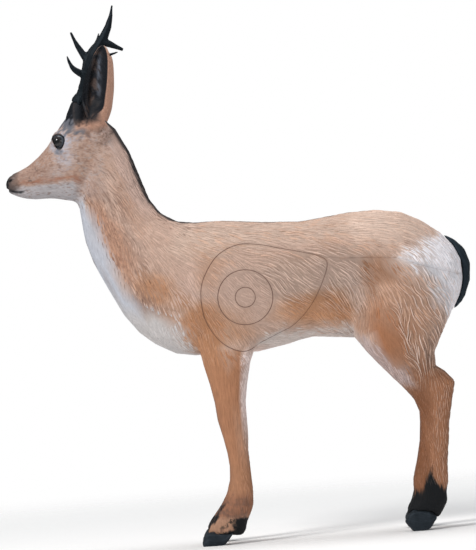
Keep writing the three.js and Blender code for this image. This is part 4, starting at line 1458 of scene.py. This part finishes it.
def black_rubber(name, dark, pale_sheen, roughness, scale):
    """Dull black rubber: greyer on what stands proud and in broad patches, partly rubbed paler and partly a
    painted sheen, with a fine skin and faint scuffs.
    """
    material, tree, shader = new_finish(name)
    fine, broad = noise(tree, scale * 6, 3), noise(tree, scale, 4)
    proud = add_node(tree, "ShaderNodeNewGeometry").outputs["Pointiness"]
    lift = add_node(tree, "ShaderNodeMapRange", {"From Min": 0.50, "From Max": 0.56, "Value": proud})
    # The pale colour is laid on proud places and in broad patches: partly rubbed paler, partly a painted
    # sheen.
    patchy_share = maths(tree, "MULTIPLY", maths(tree, "MULTIPLY_ADD", broad, 0.7, lift.outputs["Result"]), 0.6)
    fill(shader, {
        "Base Color": mixed(tree, layer_value(tree, "coronet"), mixed(tree, patchy_share, dark, pale_sheen), CORONET_TAN),
        "Roughness": maths(tree, "MULTIPLY_ADD", fine, 0.25, roughness),
        "Specular IOR Level": RUBBER_SHINE, "Specular Tint": RUBBER_TINT,
        "Normal": bump(tree, fine, 0.4, 0.0004),
    })
    return material


antler_rubber = black_rubber("black_antler_rubber", (0.002, 0.003, 0.004, 1), (0.008, 0.011, 0.014, 1),
                             0.46, 150)
for side in ("left", "right"):
    parts = ["antler_" + side + "_" + part for part in ("beam", "front_tine", "rear_tine")]
    antler = eased_casting("antler_" + side, parts, ANTLER_GRAIN, ANTLER_GROWTH, 0.5, 24)
    pushed_out(antler, pearls)
    narrowed_tips(antler, parts)
    antler.data.materials.append(antler_rubber)
    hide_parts(*parts)
    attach(antler, "root")

# ---- Hooves ----
# Two claws to a foot, cast in the same black foam, with faint growth rings round each wall. The fore feet are
# rolled onto their toes, so their soles rise behind, and their claws keep a tan line of coat along the top.
HOOF_GRAIN = 0.0011
HOOF_GROWTH = 0.0002


def tucked_heel(hoof, fore):
    """Draws the sole of a claw up behind into the heel, most on the fore feet."""
    spot = on_the_deer(mesh_arrays(hoof.data)[0])
    if fore:
        spot[:, 2] += (25 - spot[:, 2]) * 0.8 * ramp(spot[:, 0], 14, 33)
        spot[:, 0] += 8 * ramp(spot[:, 0], 6, 31)
    else:
        middle = 421 + 0.55 * (spot[:, 2] - 20)
        top = ramp(spot[:, 2], 14, 34)
        spot[:, 0] = middle + (spot[:, 0] - middle) * (1 - 0.1 * top)
        spot[:, 2] += np.maximum(26 - spot[:, 2], 0) * 0.7 * ramp(spot[:, 0], 424, 456)
        spot[:, 2] += np.maximum(18 - spot[:, 2], 0) * 0.35 * ramp(-spot[:, 0], -402, -386)
    moved(hoof.data, in_the_frame(spot))


def hoof_rings(spot):
    """Shallow rings round the wall of a claw, a little uneven."""
    x, y, z = spot.T
    wander = 1.6 * cloud(spot / 9, 221)
    rings = 0.06 * np.sin((z + 0.25 * x) * 1.3 + 2 * wander) * ramp(z, 3, 8)
    return rings + 0.9 * (cloud(spot / 7, 223) - 0.5)


# The hooves' pale blue-grey is a painted sheen on the black foam.
hoof_foam = black_rubber("black_hoof_foam", (0.005, 0.006, 0.007, 1), (0.044, 0.056, 0.070, 1), 0.40, 45)
for foot in ("fore_left", "fore_right", "hind_left", "hind_right"):
    for claw in ("inner", "outer"):
        node = "hoof_" + foot + "_" + claw
        hoof = eased_casting("claw_" + foot + "_" + claw, [node], HOOF_GRAIN, HOOF_GROWTH, 0.5, 10)
        pushed_out(hoof, hoof_rings)
        tucked_heel(hoof, "fore" in foot)
        hoof.data.materials.append(hoof_foam)
        spot = on_the_deer(mesh_arrays(hoof.data)[0])
        over_line = spot[:, 2] - 30 + 0.55 * (spot[:, 0] + 2) + 8 * (cloud(spot / 6, 225) - 0.5)
        band = ramp(over_line, -1.5, 3) * ramp(-spot[:, 0], -13, -4) * ("fore" in foot)
        stored(hoof.data, "coronet", "FLOAT", band)
        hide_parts(node)
        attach(hoof, "root")

# ---- Tail ----
# A black foam pad bonded low on the rump, carved with short hair that lies down it.
TAIL_GRAIN = 0.0016
TAIL_GROWTH = 0.0016


def tail_hair(spot):
    """Hair strokes down the tail."""
    x, y, z = spot.T
    strands = cloud(np.column_stack([y / 2.2, (x + 0.3 * z) / 5, z / 26]), 231)
    return 1.5 * (strands - 0.5) + 0.8 * (cloud(spot / 12, 233) - 0.5)


tail_foam = black_rubber("black_tail_foam", (0.006, 0.009, 0.012, 1), (0.030, 0.044, 0.056, 1), 0.5, 90)
tail = eased_casting("tail_pad", ["tail"], TAIL_GRAIN, TAIL_GROWTH, 0.5, 70)
pushed_out(tail, tail_hair)
tail.data.materials.append(tail_foam)
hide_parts("tail")
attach(tail, "root")

# ---- The studio floor, background, lights and camera ----
# A matt white sweep: a pale floor that fades into a white surround, one large soft light high at the left,
# a weaker one at the right and one overhead. The camera stands level with the chest, nine metres off.
SURROUND_RADIUS = 40.0
FLOOR_RADIUS = 3.2
FADE_START = 0.7
FADE_END = 2.6
CAMERA_DISTANCE = 9.0
CAMERA_ROLL = math.radians(4.3)
VIEW_CENTRE = (-0.0072, 0.538)
VIEW_HEIGHT = 1.111

sweep = bmesh.new()
bmesh.ops.create_icosphere(sweep, subdivisions=4, radius=SURROUND_RADIUS)
surround = new_piece("surround", as_mesh("surround", sweep))
white, tree, shader = new_finish("white_surround")
tree.nodes.remove(shader)
emission = add_node(tree, "ShaderNodeEmission", {"Color": (1, 1, 1, 1), "Strength": 1.0})
fill(tree.nodes["Material Output"], {"Surface": emission.outputs[0]})
surround.data.materials.append(white)
surround.visible_diffuse = False
surround.visible_glossy = False
surround.visible_transmission = False
surround.visible_shadow = False

disc = bmesh.new()
bmesh.ops.create_circle(disc, cap_ends=True, segments=96, radius=FLOOR_RADIUS)
floor = new_piece("floor", as_mesh("floor", disc))
matt, tree, shader = new_finish("matt_floor")
tree.nodes.remove(shader)
place = add_node(tree, "ShaderNodeTexCoord").outputs["Object"]
reach = add_node(tree, "ShaderNodeVectorMath", {0: place}, operation="LENGTH").outputs["Value"]
fade = add_node(tree, "ShaderNodeMapRange", {
    "From Min": FADE_START, "From Max": FADE_END, "Value": reach}, interpolation_type="SMOOTHSTEP")
diffuse = add_node(tree, "ShaderNodeBsdfDiffuse", {"Color": (0.93, 0.93, 0.93, 1)})
clear = add_node(tree, "ShaderNodeBsdfTransparent")
blend = add_node(tree, "ShaderNodeMixShader", {
    "Fac": fade.outputs["Result"], 1: diffuse.outputs[0], 2: clear.outputs[0]})
fill(tree.nodes["Material Output"], {"Surface": blend.outputs[0]})
floor.data.materials.append(matt)


def soft_light(name, place, target, size, power, tint):
    """A round soft lamp aimed at the target."""
    lamp = bpy.data.lights.new(name, "AREA")
    lamp.shape = "DISK"
    lamp.size = size
    lamp.energy = power
    lamp.color = tint
    holder = new_piece(name, lamp)
    holder.location = place
    holder.rotation_euler = (Vector(target) - Vector(place)).to_track_quat("-Z", "Y").to_euler()
    holder.visible_camera = False


soft_light("key_light", (-2.6, -3.0, 3.2), (0, 0, 0.55), 1.5, 153, (1.0, 0.985, 0.965))
soft_light("fill_light", (3.4, -3.2, 1.2), (0, 0, 0.5), 2.6, 26, (0.95, 0.97, 1.0))
soft_light("top_light", (0.2, 0.6, 3.6), (0, 0, 0.5), 2.4, 52, (1.0, 1.0, 1.0))

world = bpy.data.worlds.new("studio_air")
world.use_nodes = True
fill(world.node_tree.nodes["Background"], {"Color": (0.96, 0.98, 1.0, 1), "Strength": 0.36})
bpy.context.scene.world = world
bpy.context.scene.view_settings.view_transform = "Standard"

lens = bpy.data.cameras.new("camera")
lens.sensor_fit = "AUTO"
lens.sensor_width = 36
lens.lens = lens.sensor_width * CAMERA_DISTANCE / VIEW_HEIGHT
lens.clip_end = 100
camera = new_piece("camera", lens)
camera.location = (VIEW_CENTRE[0], -CAMERA_DISTANCE, VIEW_CENTRE[1])
camera.rotation_euler = (math.pi / 2, CAMERA_ROLL, 0)
bpy.context.scene.camera = camera
